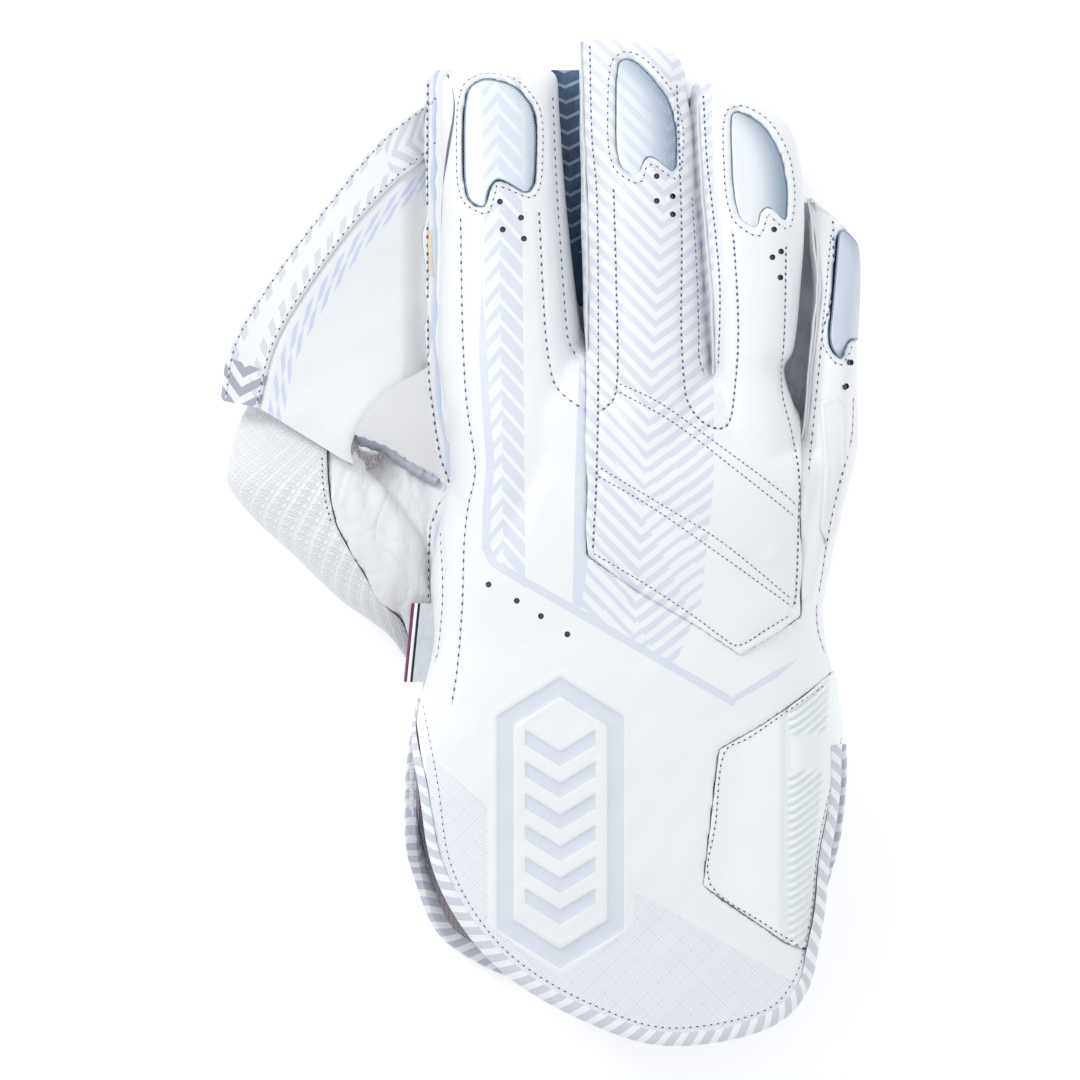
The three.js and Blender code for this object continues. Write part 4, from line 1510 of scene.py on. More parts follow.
@dataclass
class LabelLoop:
    """A short tape folded to a loop, its ends in the side seam."""

    length: float = 25.0
    width: float = 11.0
    height: float = 4.4
    tape: float = 1.0
    lean: float = 0.1
    stations: int = 30

    def build(self, name: str) -> bpy.types.Object:
        """Extrudes the folded tape's section along the seam.

        Args:
            name: the new piece's name.

        Returns:
            The piece.
        """
        outer = self.fold(self.height / 2, 0.0)
        inner = self.fold(self.height / 2 - self.tape, self.tape)[::-1]
        section = np.vstack([outer, inner])
        along = np.linspace(-0.5, 0.5, self.stations) * self.length
        centre = np.array(LABEL_PLACE) * (WIDTH, LENGTH, HEIGHT)
        x = centre[0] + section[None, :, 0] + self.lean * along[:, None] + 1.5
        z = centre[2] + section[None, :, 1] * (1 + 0.06 * np.sin(along[:, None] / 3))
        y = np.broadcast_to(centre[1] + along[:, None], x.shape)
        across, above = section.T[:, None]
        marks = np.stack(np.broadcast_arrays(across, along[:, None], above), axis=-1)
        return rolled(name, np.stack([x, y, z], axis=-1), marks)

    def fold(self, radius: float, step: float) -> np.ndarray:
        """One side of the folded tape, from its upper end round the fold to its lower one.

        Args:
            radius: radius of the fold.
            step: how far its ends are drawn back.

        Returns:
            The fold.
        """
        turn = np.linspace(np.pi / 2, 3 * np.pi / 2, 14)
        bend = self.height / 2 - self.width
        curve = np.column_stack([bend + radius * np.cos(turn), radius * np.sin(turn)])
        flat = np.linspace(-step, bend, 8)[:-1]
        upper = np.column_stack([flat, np.full(len(flat), radius)])
        return np.vstack([upper, curve, upper[::-1] * (1, -1)])


@dataclass
class Lining:
    """Knitted lining inside the palm-side flap."""

    thickness: float = 1.0
    length: float = 82.0

    def build(self, name: str) -> bpy.types.Object:
        """Cuts the lining from two shrunk forms of the palm.

        Args:
            name: the new piece's name.

        Returns:
            The piece.
        """
        outside = Forms.palm(-LEATHER - GAP)
        inside = Forms.palm(-LEATHER - GAP - self.thickness)
        end = self.length - LENGTH / 2
        corners = [(-BEYOND, -BEYOND), (BEYOND, -BEYOND), (BEYOND, end), (-BEYOND, end)]
        area = prism("area", np.array(corners))
        below = below_seam(-GAP / 2)
        edge = past_hem(PALM_HEM, BINDING_WIDTH + GAP)
        cut(outside, inside)
        cut(outside, area, below, operation="INTERSECT")
        cut(outside, edge)
        discard(inside, area, below, edge)
        outside.name = name
        return outside


# Stitches


@dataclass(frozen=True)
class Stitching:
    """Thread that shows between needle holes along rows drawn in the plan; the holes are flat dark ovals of
    painted shadow.
    """

    pitch: float = 2.7
    thread: float = 0.28
    cover: float = 0.62
    lift: float = 0.1
    hole: float = 0.4

    def sew(self, name: str, rows: Iterable[np.ndarray], surface: BVHTree) -> list[bpy.types.Object]:
        """Lays threads and the painted shadows of the needle holes on the finished leather.

        Args:
            name: what the two new pieces are called after.
            rows: the rows, in the plan.
            surface: the leather, in metres.

        Returns:
            The threads as one piece and the needle holes' painted shadows as another.
        """
        threads, holes = [], []
        for row in rows:
            count = max(2, round(lengths_along(row)[-1] / self.pitch) + 1)
            spots = [self.on_leather(point, surface) for point in resampled(row, count)]
            for before, after in zip(spots, spots[1:]):
                if before and after and np.linalg.norm(after[0] - before[0]) < 1.6 * self.pitch:
                    threads.append(self.frame((before[0] + after[0]) / 2, before[1] + after[1],
                                              after[0] - before[0]))
                    holes.append(self.frame(before[0], before[1], after[0] - before[0]))
        long = (self.pitch * self.cover / 2, self.thread, self.thread * 0.8)
        return [
            self.copies(f"{name}_thread", threads, long, self.lift),
            self.copies(f"{name}_holes", holes, (self.hole * 1.7, self.hole * 0.95, 0.1), 0.03),
        ]

    @staticmethod
    def on_leather(point: np.ndarray, surface: BVHTree) -> tuple[np.ndarray, np.ndarray] | None:
        """The spot of the leather under a point of the plan, and its normal.

        Args:
            point: the point of the plan.
            surface: the leather, in metres.

        Returns:
            Both, or nothing where no leather faces up.
        """
        spot, normal = dropped(point, surface)
        if spot is None or normal.z < 0.12:
            return None
        return np.array(spot) / MM, np.array(normal)

    @staticmethod
    def frame(centre: np.ndarray, normal: np.ndarray, along: np.ndarray) -> np.ndarray:
        """Centre and three directions of one stitch.

        Args:
            centre: its middle.
            normal: the way out of the leather.
            along: the way the row runs.

        Returns:
            The four rows.
        """
        out = unit(normal)
        forward = unit(along - out * (along @ out))
        return np.array([centre, forward, np.cross(out, forward), out])

    @staticmethod
    def copies(
        name: str, frames: list[np.ndarray], size: tuple[float, float, float], lift: float,
    ) -> bpy.types.Object:
        """Copies one small rounded form to every frame.

        Args:
            name: the new piece's name.
            frames: centre and directions of each copy.
            size: half lengths of the form along those directions.
            lift: how far it stands above the leather.

        Returns:
            One piece with all the copies.
        """
        clear_selection()
        bpy.ops.mesh.primitive_uv_sphere_add(segments=6, ring_count=4, radius=1)
        bead = bpy.context.object
        bpy.ops.object.mode_set(mode="EDIT")
        bpy.ops.transform.rotate(value=math.pi / 2, orient_axis="Y", center_override=(0, 0, 0))
        bpy.ops.object.mode_set(mode="OBJECT")
        shape = positions(bead) * MM * size + (0, 0, lift)
        faces = [tuple(face.vertices) for face in bead.data.polygons]
        table = np.array(frames)
        points = table[:, None, 0] + np.einsum("pk,nkc->npc", shape, table[:, 1:])
        mesh = bpy.data.meshes.new(name)
        count = len(shape)
        starts = range(0, count * len(frames), count)
        copied = [tuple(corner + start for corner in face) for start in starts for face in faces]
        mesh.from_pydata((points.reshape(-1, 3) * MM).tolist(), [], copied)
        discard(bead)
        piece = bpy.data.objects.new(name, mesh)
        bpy.context.collection.objects.link(piece)
        return piece


def skin_tree(pieces: Iterable[bpy.types.Object]) -> BVHTree:
    """A search tree over the faces of several pieces.

    Args:
        pieces: the pieces.

    Returns:
        The tree, in metres.
    """
    points: list[Any] = []
    faces: list[tuple[int, ...]] = []
    for piece in pieces:
        start = len(points)
        points.extend(vertex.co for vertex in piece.data.vertices)
        faces.extend(tuple(corner + start for corner in face.vertices) for face in piece.data.polygons)
    return BVHTree.FromPolygons(points, faces)


# Finishes


def operator(operation: str) -> Callable[..., Maths]:
    """A method that puts one Math node after a value.

    Args:
        operation: the node's operation.

    Returns:
        The method.
    """

    def method(value: Maths, *others: Maths | float) -> Maths:
        """Adds the node."""
        inputs = dict(enumerate((value, *others)))
        return value.shader.node("ShaderNodeMath", {"operation": operation}, inputs)

    return method


class Maths:
    """A shader socket that Python's operators turn to Math nodes."""

    def __init__(self, shader: Shader, socket: bpy.types.NodeSocket) -> None:
        """Wraps a socket of a shader."""
        self.shader = shader
        self.socket = socket

    def __rsub__(self, other: Maths | float) -> Maths:
        """Another value less this one."""
        return self * -1 + other

    __add__ = __radd__ = operator("ADD")
    __sub__ = operator("SUBTRACT")
    __mul__ = __rmul__ = operator("MULTIPLY")
    __truediv__ = operator("DIVIDE")
    __lt__ = operator("LESS_THAN")
    __gt__ = operator("GREATER_THAN")
    __abs__ = operator("ABSOLUTE")
    __and__ = operator("MINIMUM")
    __or__ = operator("MAXIMUM")
    power = operator("POWER")
    fraction = operator("FRACT")
    floor = operator("FLOOR")
    sine = operator("SINE")


class Shader:
    """The node tree of one finish."""

    def __init__(self, name: str, roughness: float, **constants: Any) -> None:
        """Starts a finish with its surface and the values that are the same all over.

        Args:
            name: the material's name.
            roughness: the surface's roughness.
            **constants: values of the surface's sockets, by name.
        """
        self.material = bpy.data.materials.new(name)
        self.material.use_nodes = True
        self.tree = self.material.node_tree
        self.tree.nodes.clear()
        self.surface = self.tree.nodes.new("ShaderNodeBsdfPrincipled")
        self.surface.inputs["Roughness"].default_value = roughness
        for socket, value in constants.items():
            self.surface.inputs[socket.replace("_", " ")].default_value = value
        output = self.tree.nodes.new("ShaderNodeOutputMaterial")
        self.tree.links.new(self.surface.outputs["BSDF"], output.inputs["Surface"])

    def node(
        self, kind: str, settings: dict[str, Any], inputs: dict[int | str, Any], output: int | str = 0,
    ) -> Maths:
        """Adds a node.

        Args:
            kind: the node's type.
            settings: its own properties, set first.
            inputs: values or links of its sockets, by number or name.
            output: which of its outputs is wanted.

        Returns:
            That output, ready for maths.
        """
        node = self.tree.nodes.new(kind)
        for name, value in settings.items():
            setattr(node, name, value)
        for socket, value in inputs.items():
            if isinstance(value, Maths):
                self.tree.links.new(value.socket, node.inputs[socket])
            else:
                node.inputs[socket].default_value = value
        return Maths(self, node.outputs[output])

    def place(self) -> Maths:
        """The point on the glove, in millimetres."""
        point = self.node("ShaderNodeTexCoord", {}, {}, "Object")
        return self.node("ShaderNodeVectorMath", {"operation": "SCALE"}, {0: point, "Scale": 1 / MM})

    def marks(self) -> Maths:
        """The three numbers that a swept mesh keeps."""
        return self.node("ShaderNodeAttribute", {"attribute_name": MARKS}, {}, "Vector")

    def split(self, vector: Maths) -> tuple[Maths, Maths, Maths]:
        """The three numbers of a vector."""
        x, y, z = (self.node("ShaderNodeSeparateXYZ", {}, {0: vector}, axis) for axis in range(3))
        return x, y, z

    def noise(self, vector: Maths, scale: float, detail: float = 2.0) -> Maths:
        """Cloudy values about one half; scale counts clouds to the millimetre."""
        return self.node("ShaderNodeTexNoise", {}, {"Vector": vector, "Scale": scale, "Detail": detail}, 0)

    def cells(self, vector: Maths, scale: float) -> Maths:
        """Distance to the nearest of scattered points, as in the grain of leather."""
        return self.node("ShaderNodeTexVoronoi", {}, {"Vector": vector, "Scale": scale}, "Distance")

    def mix(self, mask: Maths | float, base: Any, other: Any) -> Maths:
        """A colour that turns from base to other by a mask."""
        settings = {"data_type": "RGBA"}
        return self.node("ShaderNodeMix", settings, {0: mask, 6: base, 7: other}, 2)

    def colour(self, value: Maths) -> None:
        """Gives the surface its colour."""
        self.tree.links.new(value.socket, self.surface.inputs["Base Color"])

    def relief(self, height: Maths) -> None:
        """Gives the surface a fine relief whose height is in millimetres."""
        bump = self.node("ShaderNodeBump", {}, {"Height": height, "Strength": 1.0, "Distance": MM})
        self.tree.links.new(bump.socket, self.surface.inputs["Normal"])


Colour = tuple[float, float, float, float]


def grey(value: float, blue: float = 0.0) -> Colour:
    """A grey with a touch of blue."""
    return (value - blue, value - blue * 0.4, value + blue * 0.4, 1.0)


WHITE = grey(0.86, 0.012)
PERIWINKLE: Colour = (0.69, 0.715, 0.8, 1.0)


class Print(Enum):
    """The printed patterns of the leather and the guards."""

    LINE = 0
    SPEAR = 1
    INDEX_CHEVRONS = 2
    PANEL_CHEVRONS = 3
    CUFF_DIAMONDS = 4
    EMBLEM = 5


@dataclass(frozen=True)
class Leather:
    """White leather with a fine grain, printed where prints are asked for."""

    name: str
    tint: Colour = WHITE
    printed: tuple[Print, ...] = ()
    grain: float = 0.035
    wrinkle: float = 0.12
    roughness: float = 0.48

    def make(self) -> bpy.types.Material:
        """Builds the finish.

        Returns:
            The material.
        """
        shader = Shader(self.name, self.roughness, Coat_Weight=0.06, Coat_Roughness=0.3)
        point = shader.place()
        clouds = shader.noise(point, 0.035, 3.0)
        base = shader.mix(clouds * 0.25, self.tint, grey(self.tint[1] * 0.93, 0.012))
        prints = Prints(shader, point)
        if self.printed:
            mask = reduce(Maths.__or__, (prints.drawn(kind) for kind in self.printed))
            base = shader.mix(mask, base, PERIWINKLE)
        shader.colour(base)
        height = shader.cells(point, 0.75) * self.grain + shader.noise(point, 0.22, 4.0) * self.wrinkle
        if Print.EMBLEM in self.printed:
            height = height - prints.emblem() * 0.35
        shader.relief(height)
        return shader.material


class Prints:
    """The pale printed bands and chevrons of the back, drawn in the plan."""

    def __init__(self, shader: Shader, point: Maths) -> None:
        """Takes the plan's coordinates from a point on the glove."""
        self.shader = shader
        self.x, self.y, _ = shader.split(point)

    def drawn(self, pattern: Print) -> Maths:
        """The mask of one printed pattern.

        Args:
            pattern: which pattern is wanted.

        Returns:
            The mask.
        """
        masks = {
            Print.LINE: self.line, Print.SPEAR: self.spear, Print.INDEX_CHEVRONS: self.index_chevrons,
            Print.PANEL_CHEVRONS: self.panel_chevrons, Print.CUFF_DIAMONDS: self.cuff_diamonds,
            Print.EMBLEM: self.emblem,
        }
        return masks[pattern]()

    def within(self, corners: Sequence[Point]) -> Maths:
        """One inside a convex outline and nought outside.

        Args:
            corners: corners of the outline, in the plan.

        Returns:
            The mask.
        """
        points = np.array(corners)
        x, y = points.T
        area = np.sum(x * np.roll(y, -1) - np.roll(x, -1) * y)
        points = points if area > 0 else points[::-1]
        masks = []
        for (ax, ay), (bx, by) in zip(points, np.roll(points, -1, axis=0)):
            nx, ny = ay - by, bx - ax
            masks.append(self.x * nx + self.y * ny - (nx * ax + ny * ay))
        return reduce(Maths.__and__, masks) > 0

    def chevrons(self, apex: float, lean: float, pitch: float, slopes: Point, shares: Point) -> Maths:
        """Stripes that meet at an upright line.

        Args:
            apex: where that line crosses y = 0.
            lean: how far it moves across for each millimetre up.
            pitch: distance between stripes along the line.
            slopes: rise of the stripes to the left and to the right of the line.
            shares: how much of the pitch is printed to the left and to the right.

        Returns:
            The mask of the stripes.
        """
        off = self.x - self.y * lean - apex
        left = off < 0
        rise = off * (left * (slopes[0] - slopes[1]) + slopes[1])
        printed = left * (shares[0] - shares[1]) + shares[1]
        return (1 - ((self.y - rise) / pitch).fraction()) < printed

    def line(self) -> Maths:
        """The band that runs down beside the index and turns across the back.

        Returns:
            The mask.
        """
        path = np.array(PRINTED_LINE)
        mask = self.within(LINE_POINT) | self.within(LINE_SPIKE)
        for start, end in zip(path, path[1:]):
            side = unit(np.array([start[1] - end[1], end[0] - start[0]])) * LINE_WIDTH / 2
            on = unit(end - start) * LINE_WIDTH * 0.3
            corners = [start - side - on, end - side + on, end + side + on, start + side - on]
            mask = mask | self.within(corners)
        return mask

    def spear(self) -> Maths:
        """The long point beside the knuckle panel."""
        return self.within(SPEAR_HEAD) | self.within(SPEAR_SHAFT)

    def index_chevrons(self) -> Maths:
        """The column of arrow heads on the index."""
        area = self.within(INDEX_PRINT)
        return area & self.chevrons(-11.6, -0.012, 6.8, (1.22, -1.15), (0.38, 0.72))

    def panel_chevrons(self) -> Maths:
        """The broad column of chevrons over the middle stall and the knuckles.

        Returns:
            The mask.
        """
        slip = self.shader.node("ShaderNodeTexWhiteNoise", {"noise_dimensions": "1D"},
                                {"W": ((self.x + self.y * 0.5) / 9.0).floor()}, 0)
        area = self.within(PANEL_PRINT)
        off = self.x - self.y * 0.07 - 31.5
        left = off < 0
        rise = off * (left * (-0.98 - 0.8) + 0.8)
        stripes = ((self.y - rise + slip * 1.6) / 5.2).fraction() < (0.36 + slip * 0.2)
        return area & stripes

    def emblem(self) -> Maths:
        """A six-sided ring round a stack of chevrons, pressed into the cuff.

        Returns:
            The mask.
        """
        ring = self.hexagon(*EMBLEM_RING)
        across = abs(self.x - EMBLEM_CENTRE[0])
        rise = self.y - EMBLEM_STACK - across * EMBLEM_SLOPE
        steps = (rise / EMBLEM_PITCH).fraction() < EMBLEM_SHARE
        core = (across < EMBLEM_CORE[0]) & (abs(rise + EMBLEM_LOW) < EMBLEM_CORE[1])
        return ((ring < 0) & (ring > -EMBLEM_BAND)) | (steps & core)

    def hexagon(self, half_width: float, half_height: float) -> Maths:
        """Signed distance to a tall hexagon about the emblem's centre.

        Args:
            half_width: half its width.
            half_height: half its height.

        Returns:
            The distance, negative inside.
        """
        across = abs(self.x - EMBLEM_CENTRE[0])
        along = abs(self.y - EMBLEM_CENTRE[1])
        ends = (along + across * EMBLEM_SLOPE - half_height) * EMBLEM_STEEPNESS
        return (across - half_width) | ends

    def cuff_diamonds(self) -> Maths:
        """Nested diamonds in fine lines below the emblem.

        Returns:
            The mask.
        """
        along = ((self.x + self.y) / 6.8).fraction() - 0.5
        across = ((self.x - self.y) / 6.8).fraction() - 0.5
        ring = (abs(along) | abs(across)) * 2
        lines = (ring * 3.5 - 0.2).fraction() < 0.38
        area = self.within(LEFT_PRINT) | self.within(LOW_PRINT)
        return area & lines & (1 - self.within(EMBLEM_CLEAR))


PRINTED_LINE = (
    (-18.0, 60.0), (-17.2, 44.5), (-15.6, 23.9), (-16.9, 8.9), (-16.9, -2.5), (-14.6, -7.3), (60.7, -50.9),
)
LINE_WIDTH = 2.6
LINE_POINT = ((-19.3, 60.0), (-16.7, 60.0), (-18.6, 84.0))
LINE_SPIKE = ((59.6, -51.8), (61.2, -48.9), (72.0, -42.2), (81.5, -37.4), (74.5, -43.4))
SPEAR_HEAD = ((12.4, 55.0), (11.0, 20.0), (15.9, 20.0), (15.9, 30.0))
SPEAR_SHAFT = ((11.0, 20.0), (10.2, -20.0), (12.9, -21.6), (15.3, -5.1), (15.9, 20.0))
INDEX_PRINT = ((-18.5, 148.0), (-6.0, 148.0), (-4.6, -15.0), (-16.0, -7.5))
PANEL_PRINT = ((12.5, 160.0), (55.0, 160.0), (54.7, 20.0), (50.5, -20.0), (42.3, -39.0), (12.6, -22.0))
LEFT_PRINT = ((-36.0, -67.0), (2.0, -100.0), (5.0, -150.0), (-36.0, -120.0))
LOW_PRINT = ((2.0, -100.0), (33.7, -112.3), (84.0, -142.0), (60.0, -165.0), (5.0, -165.0))
EMBLEM_CENTRE = (6.4, -89.0)
EMBLEM_RING = (20.0, 46.0)
EMBLEM_CORE = (11.0, 30.0)
EMBLEM_STACK = -91.0
EMBLEM_LOW = 2.7
EMBLEM_PITCH = 10.0
EMBLEM_SHARE = 0.46
EMBLEM_BAND = 5.2
EMBLEM_SLOPE = 0.62
EMBLEM_STEEPNESS = 0.85
EMBLEM_CLEAR = ((-16.6, -56.0), (-16.6, -121.0), (6.4, -138.0), (29.4, -121.0), (29.4, -56.0), (6.4, -42.0))


@dataclass(frozen=True)
class Rubber:
    """Moulded rubber with nested diamonds."""

    name: str
    tint: Colour = grey(0.84, 0.012)
    pitch: float = 4.6

    def make(self) -> bpy.types.Material:
        """Builds the finish.

        Returns:
            The material.
        """
        shader = Shader(self.name, 0.42)
        along, across, _ = shader.split(shader.marks())
        first = ((along + across) / self.pitch).fraction() - 0.5
        second = ((along - across) / self.pitch).fraction() - 0.5
        ring = (abs(first) | abs(second)) * 2
        ridges = (ring * 12.0).sine() * 0.11
        point = shader.place()
        shader.colour(shader.mix(shader.noise(point, 0.05, 3.0) * 0.4, self.tint, grey(0.78, 0.015)))
        shader.relief(ridges + shader.noise(point, 0.6, 3.0) * 0.08)
        return shader.material


@dataclass(frozen=True)
class RawEdges:
    """Stacked raw edges: white, one of them pale blue with a stretch of undyed fringe, and a near black
    cord that is painted shadow of the fold beside them.
    """

    name: str

    def make(self) -> bpy.types.Material:
        """Builds the finish.

        Returns:
            The material.
        """
        shader = Shader(self.name, 0.6)
        layer, _, _ = shader.split(shader.marks())
        point = shader.place()
        _, along, _ = shader.split(point)
        base = shader.mix(shader.noise(point, 0.6, 3.0) * 0.5, grey(0.84, 0.012), grey(0.72, 0.02))
        blue = shader.mix((layer > 0.5) & (layer < 1.5), base, (0.56, 0.63, 0.76, 1.0))
        fringe = (layer > 1.5) & (layer < 2.5) & (along > 84.0) & (along < 99.0)
        undyed = shader.mix(fringe * shader.noise(point, 1.2, 2.0), blue, (0.75, 0.52, 0.18, 1.0))
        # The fifth layer is the cord beside the seam: near black, a painted shadow of the fold.
        shader.colour(shader.mix(layer > 3.5, undyed, (0.16, 0.17, 0.2, 1.0)))
        shader.relief(shader.noise(point, 0.5, 4.0) * 0.2)
        return shader.material


@dataclass(frozen=True)
class TickedLeather:
    """The web's leather with two rows of slanted ticks beside the band."""

    name: str
    pitch: float = 6.6
    shear: float = 1.5
    row: float = 3.1

    def make(self) -> bpy.types.Material:
        """Builds the finish.

        Returns:
            The material.
        """
        shader = Shader(self.name, 0.5, Coat_Weight=0.05)
        run, _, inset = shader.split(shader.marks())
        first = self.ticks(run, inset, 3.0)
        second = self.ticks(run, inset, 3.0 + self.row)
        point = shader.place()
        base = shader.mix(shader.noise(point, 0.04, 3.0) * 0.4, grey(0.84, 0.012), grey(0.8, 0.02))
        shader.colour(shader.mix((first | second) * 0.85, base, (0.58, 0.63, 0.82, 1.0)))
        shader.relief(shader.noise(point, 0.3, 4.0) * 0.12 + shader.cells(point, 0.8) * 0.03)
        return shader.material

    def ticks(self, run: Maths, inset: Maths, start: float) -> Maths:
        """One row of ticks that starts at a distance from the band.

        Args:
            run: distance along the band.
            inset: distance from the band.
            start: where the row begins.

        Returns:
            The mask.
        """
        depth = inset - start
        stripe = ((run - depth * self.shear) / self.pitch).fraction() < 0.48
        return stripe & (depth > 0) & (depth < self.row - 0.35)


@dataclass(frozen=True)
class BandLeather:
    """The folded band's leather: ticks along its rims and chevrons at its ends."""

    name: str
    length: float
    pitch: float = 7.0

    def make(self) -> bpy.types.Material:
        """Builds the finish.

        Returns:
            The material.
        """
        shader = Shader(self.name, 0.5, Coat_Weight=0.05)
        run, inner, outer = shader.split(shader.marks())
        rim = inner & outer
        side = (inner < outer) * 2 - 1
        ticks = ((run + rim * side * 0.9) / self.pitch).fraction() < 0.5
        ticks = ticks & (rim > 1.4) & (rim < 4.4)
        chevron = ((run - rim * 0.95) / 5.6).fraction() < 0.5
        top = chevron & (run < 24.0) & (rim > 1.6)
        folded = ((run - rim * 0.9) / 6.6).fraction() < 0.52
        low = folded & (run > self.length - 13.0)
        point = shader.place()
        base = shader.mix(shader.noise(point, 0.05, 3.0) * 0.4, grey(0.85, 0.01), grey(0.8, 0.015))
        pale = shader.mix((ticks & (run > 24.0)) | top, base, (0.66, 0.68, 0.73, 1.0))
        shader.colour(shader.mix(low, pale, (0.4, 0.41, 0.47, 1.0)))
        shader.relief(shader.noise(point, 0.3, 4.0) * 0.15 + shader.cells(point, 0.8) * 0.03)
        return shader.material


@dataclass(frozen=True)
class ShadedGussetLeather:
    """Leather between two stalls, creased, its dark colours partly its own and partly painted shade of the
    deep gap.
    """

    name: str
    tint: Colour
    bright: Colour
    lined: bool = False

    def make(self) -> bpy.types.Material:
        """Builds the finish.

        Returns:
            The material.
        """
        shader = Shader(self.name, 0.6)
        point = shader.place()
        run, share, _ = shader.split(shader.marks())
        # tint and bright hold painted shade of the gap as well as the leather's own colour
        cloudy = shader.mix(shader.noise(point, 0.25, 4.0), self.tint, self.bright)
        if self.lined:
            lines = ((run - abs(share - 0.35) * 5.0) / 5.0).fraction() < 0.22
            cloudy = shader.mix((lines & (run > 92.0)) * 0.7, cloudy, (0.5, 0.53, 0.6, 1.0))
        shader.colour(cloudy)
        shader.relief(shader.noise(point, 0.5, 4.0) * 0.4)
        return shader.material


@dataclass(frozen=True)
class Suede:
    """Grey-brown rough side of the leather."""

    name: str

    def make(self) -> bpy.types.Material:
        """Builds the finish.

        Returns:
            The material.
        """
        shader = Shader(self.name, 0.95)
        point = shader.place()
        knots = shader.cells(point, 1.3)
        shader.colour(shader.mix(knots, (0.26, 0.24, 0.25, 1.0), (0.62, 0.58, 0.6, 1.0)))
        shader.relief(knots * 0.5 + shader.noise(point, 2.0, 3.0) * 0.2)
        return shader.material


@dataclass(frozen=True)
class TipGuard:
    """Moulded tip guard: icy blue, darker to one side, finely ribbed there."""

    name: str
    shade: float
    reach: float
    prints: Print | None = None
    tint: Colour = (0.79, 0.82, 0.85, 1.0)
    steel: Colour = (0.28, 0.38, 0.48, 1.0)
    teal: Colour = (0.07, 0.17, 0.27, 1.0)

    def make(self) -> bpy.types.Material:
        """Builds the finish.

        Returns:
            The material.
        """
        shader = Shader(self.name, 0.36, Coat_Weight=0.35, Coat_Roughness=0.28)
        point = shader.place()
        prints = Prints(shader, point)
        edge, inset, _ = shader.split(shader.marks())
        right = (1 - inset / self.reach) | 0
        base = shader.mix(right.power(1.4) * self.shade, self.tint, self.steel)
        if self.prints:
            base = shader.mix(prints.drawn(self.prints) * 0.5, base, (0.55, 0.63, 0.78, 1.0))
        run = prints.y + (prints.x * 0.8 if self.prints else inset * 2.2)
        ribs = (run / 0.9).fraction() < 0.32
        fade = ((right * 1.8 - 0.5) | 0) & 1
        base = shader.mix(fade * ribs * 0.75, base, (0.12, 0.2, 0.3, 1.0))
        shader.colour(shader.mix((edge < 0.5) * 0.8, base, self.teal))
        shader.relief((run * (2 * math.pi / 0.9)).sine() * fade * 0.06)
        return shader.material


@dataclass(frozen=True)
class Moulded:
    """Glossy moulded plastic or coated leather of one colour."""

    name: str
    tint: Colour
    roughness: float = 0.25
    coat: float = 0.5

    def make(self) -> bpy.types.Material:
        """Builds the finish.

        Returns:
            The material.
        """
        shader = Shader(self.name, self.roughness, Coat_Weight=self.coat, Coat_Roughness=0.12)
        point = shader.place()
        clouds = shader.noise(point, 0.08, 2.0) * 0.3
        shader.colour(shader.mix(clouds, self.tint, grey(self.tint[1] * 0.9, 0.02)))
        shader.relief(shader.noise(point, 0.5, 3.0) * 0.05)
        return shader.material


@dataclass(frozen=True)
class StripedTape:
    """Woven tape with slanting stripes."""

    name: str
    light: Colour = grey(0.88, 0.01)
    dark: Colour = (0.62, 0.65, 0.7, 1.0)
    pitch: float = 5.8
    slant: float = 0.75

    def make(self) -> bpy.types.Material:
        """Builds the finish.

        Returns:
            The material.
        """
        shader = Shader(self.name, 0.5)
        run, across, _ = shader.split(shader.marks())
        stripe = ((run + across * self.slant) / self.pitch).fraction() < 0.55
        shader.colour(shader.mix(stripe, self.light, self.dark))
        threads = (run * 9.0).sine() * 0.03 + (across * 12.0).sine() * 0.02
        shader.relief(threads + shader.noise(shader.place(), 0.5, 3.0) * 0.06)
        return shader.material


@dataclass(frozen=True)
class Knit:
    """Brownish grey knitted cloth."""

    name: str
    tint: Colour = (0.3, 0.265, 0.29, 1.0)
    wale: float = 1.5

    def make(self) -> bpy.types.Material:
        """Builds the finish.

        Returns:
            The material.
        """
        shader = Shader(self.name, 0.85, Sheen_Weight=0.2)
        x, y, _ = shader.split(shader.place())
        zigzag = abs((x / self.wale).fraction() - 0.5)
        loops = ((y + zigzag * 1.4) * 7.0).sine()
        ribs = (x * (2 * math.pi / self.wale)).sine()
        shader.colour(shader.mix(loops * 0.35 + 0.4, self.tint, (0.5, 0.46, 0.49, 1.0)))
        shader.relief(loops * 0.12 + ribs * 0.1)
        return shader.material


@dataclass(frozen=True)
class LabelTape:
    """Silver woven tape with coloured stripes along its fold, brown inside."""

    name: str

    def make(self) -> bpy.types.Material:
        """Builds the finish.

        Returns:
            The material.
        """
        shader = Shader(self.name, 0.3, Metallic=0.55)
        across, along, height = shader.split(shader.marks())
        clouds = shader.noise(shader.place(), 0.4, 2.0)
        silver = shader.mix(clouds, (0.6, 0.64, 0.67, 1.0), (0.82, 0.85, 0.88, 1.0))
        black = shader.mix((across < -8.1) & (across > -8.9), silver, (0.02, 0.02, 0.04, 1.0))
        pale = shader.mix((across < -8.9) & (across > -9.9), black, (0.85, 0.87, 0.9, 1.0))
        maroon = shader.mix(across < -9.9, pale, (0.16, 0.03, 0.12, 1.0))
        inside = (abs(height) < 1.3) & (across > -9.2)
        shader.colour(shader.mix(inside, maroon, (0.35, 0.25, 0.08, 1.0)))
        shader.relief((along * 12.0).sine() * 0.02)
        return shader.material


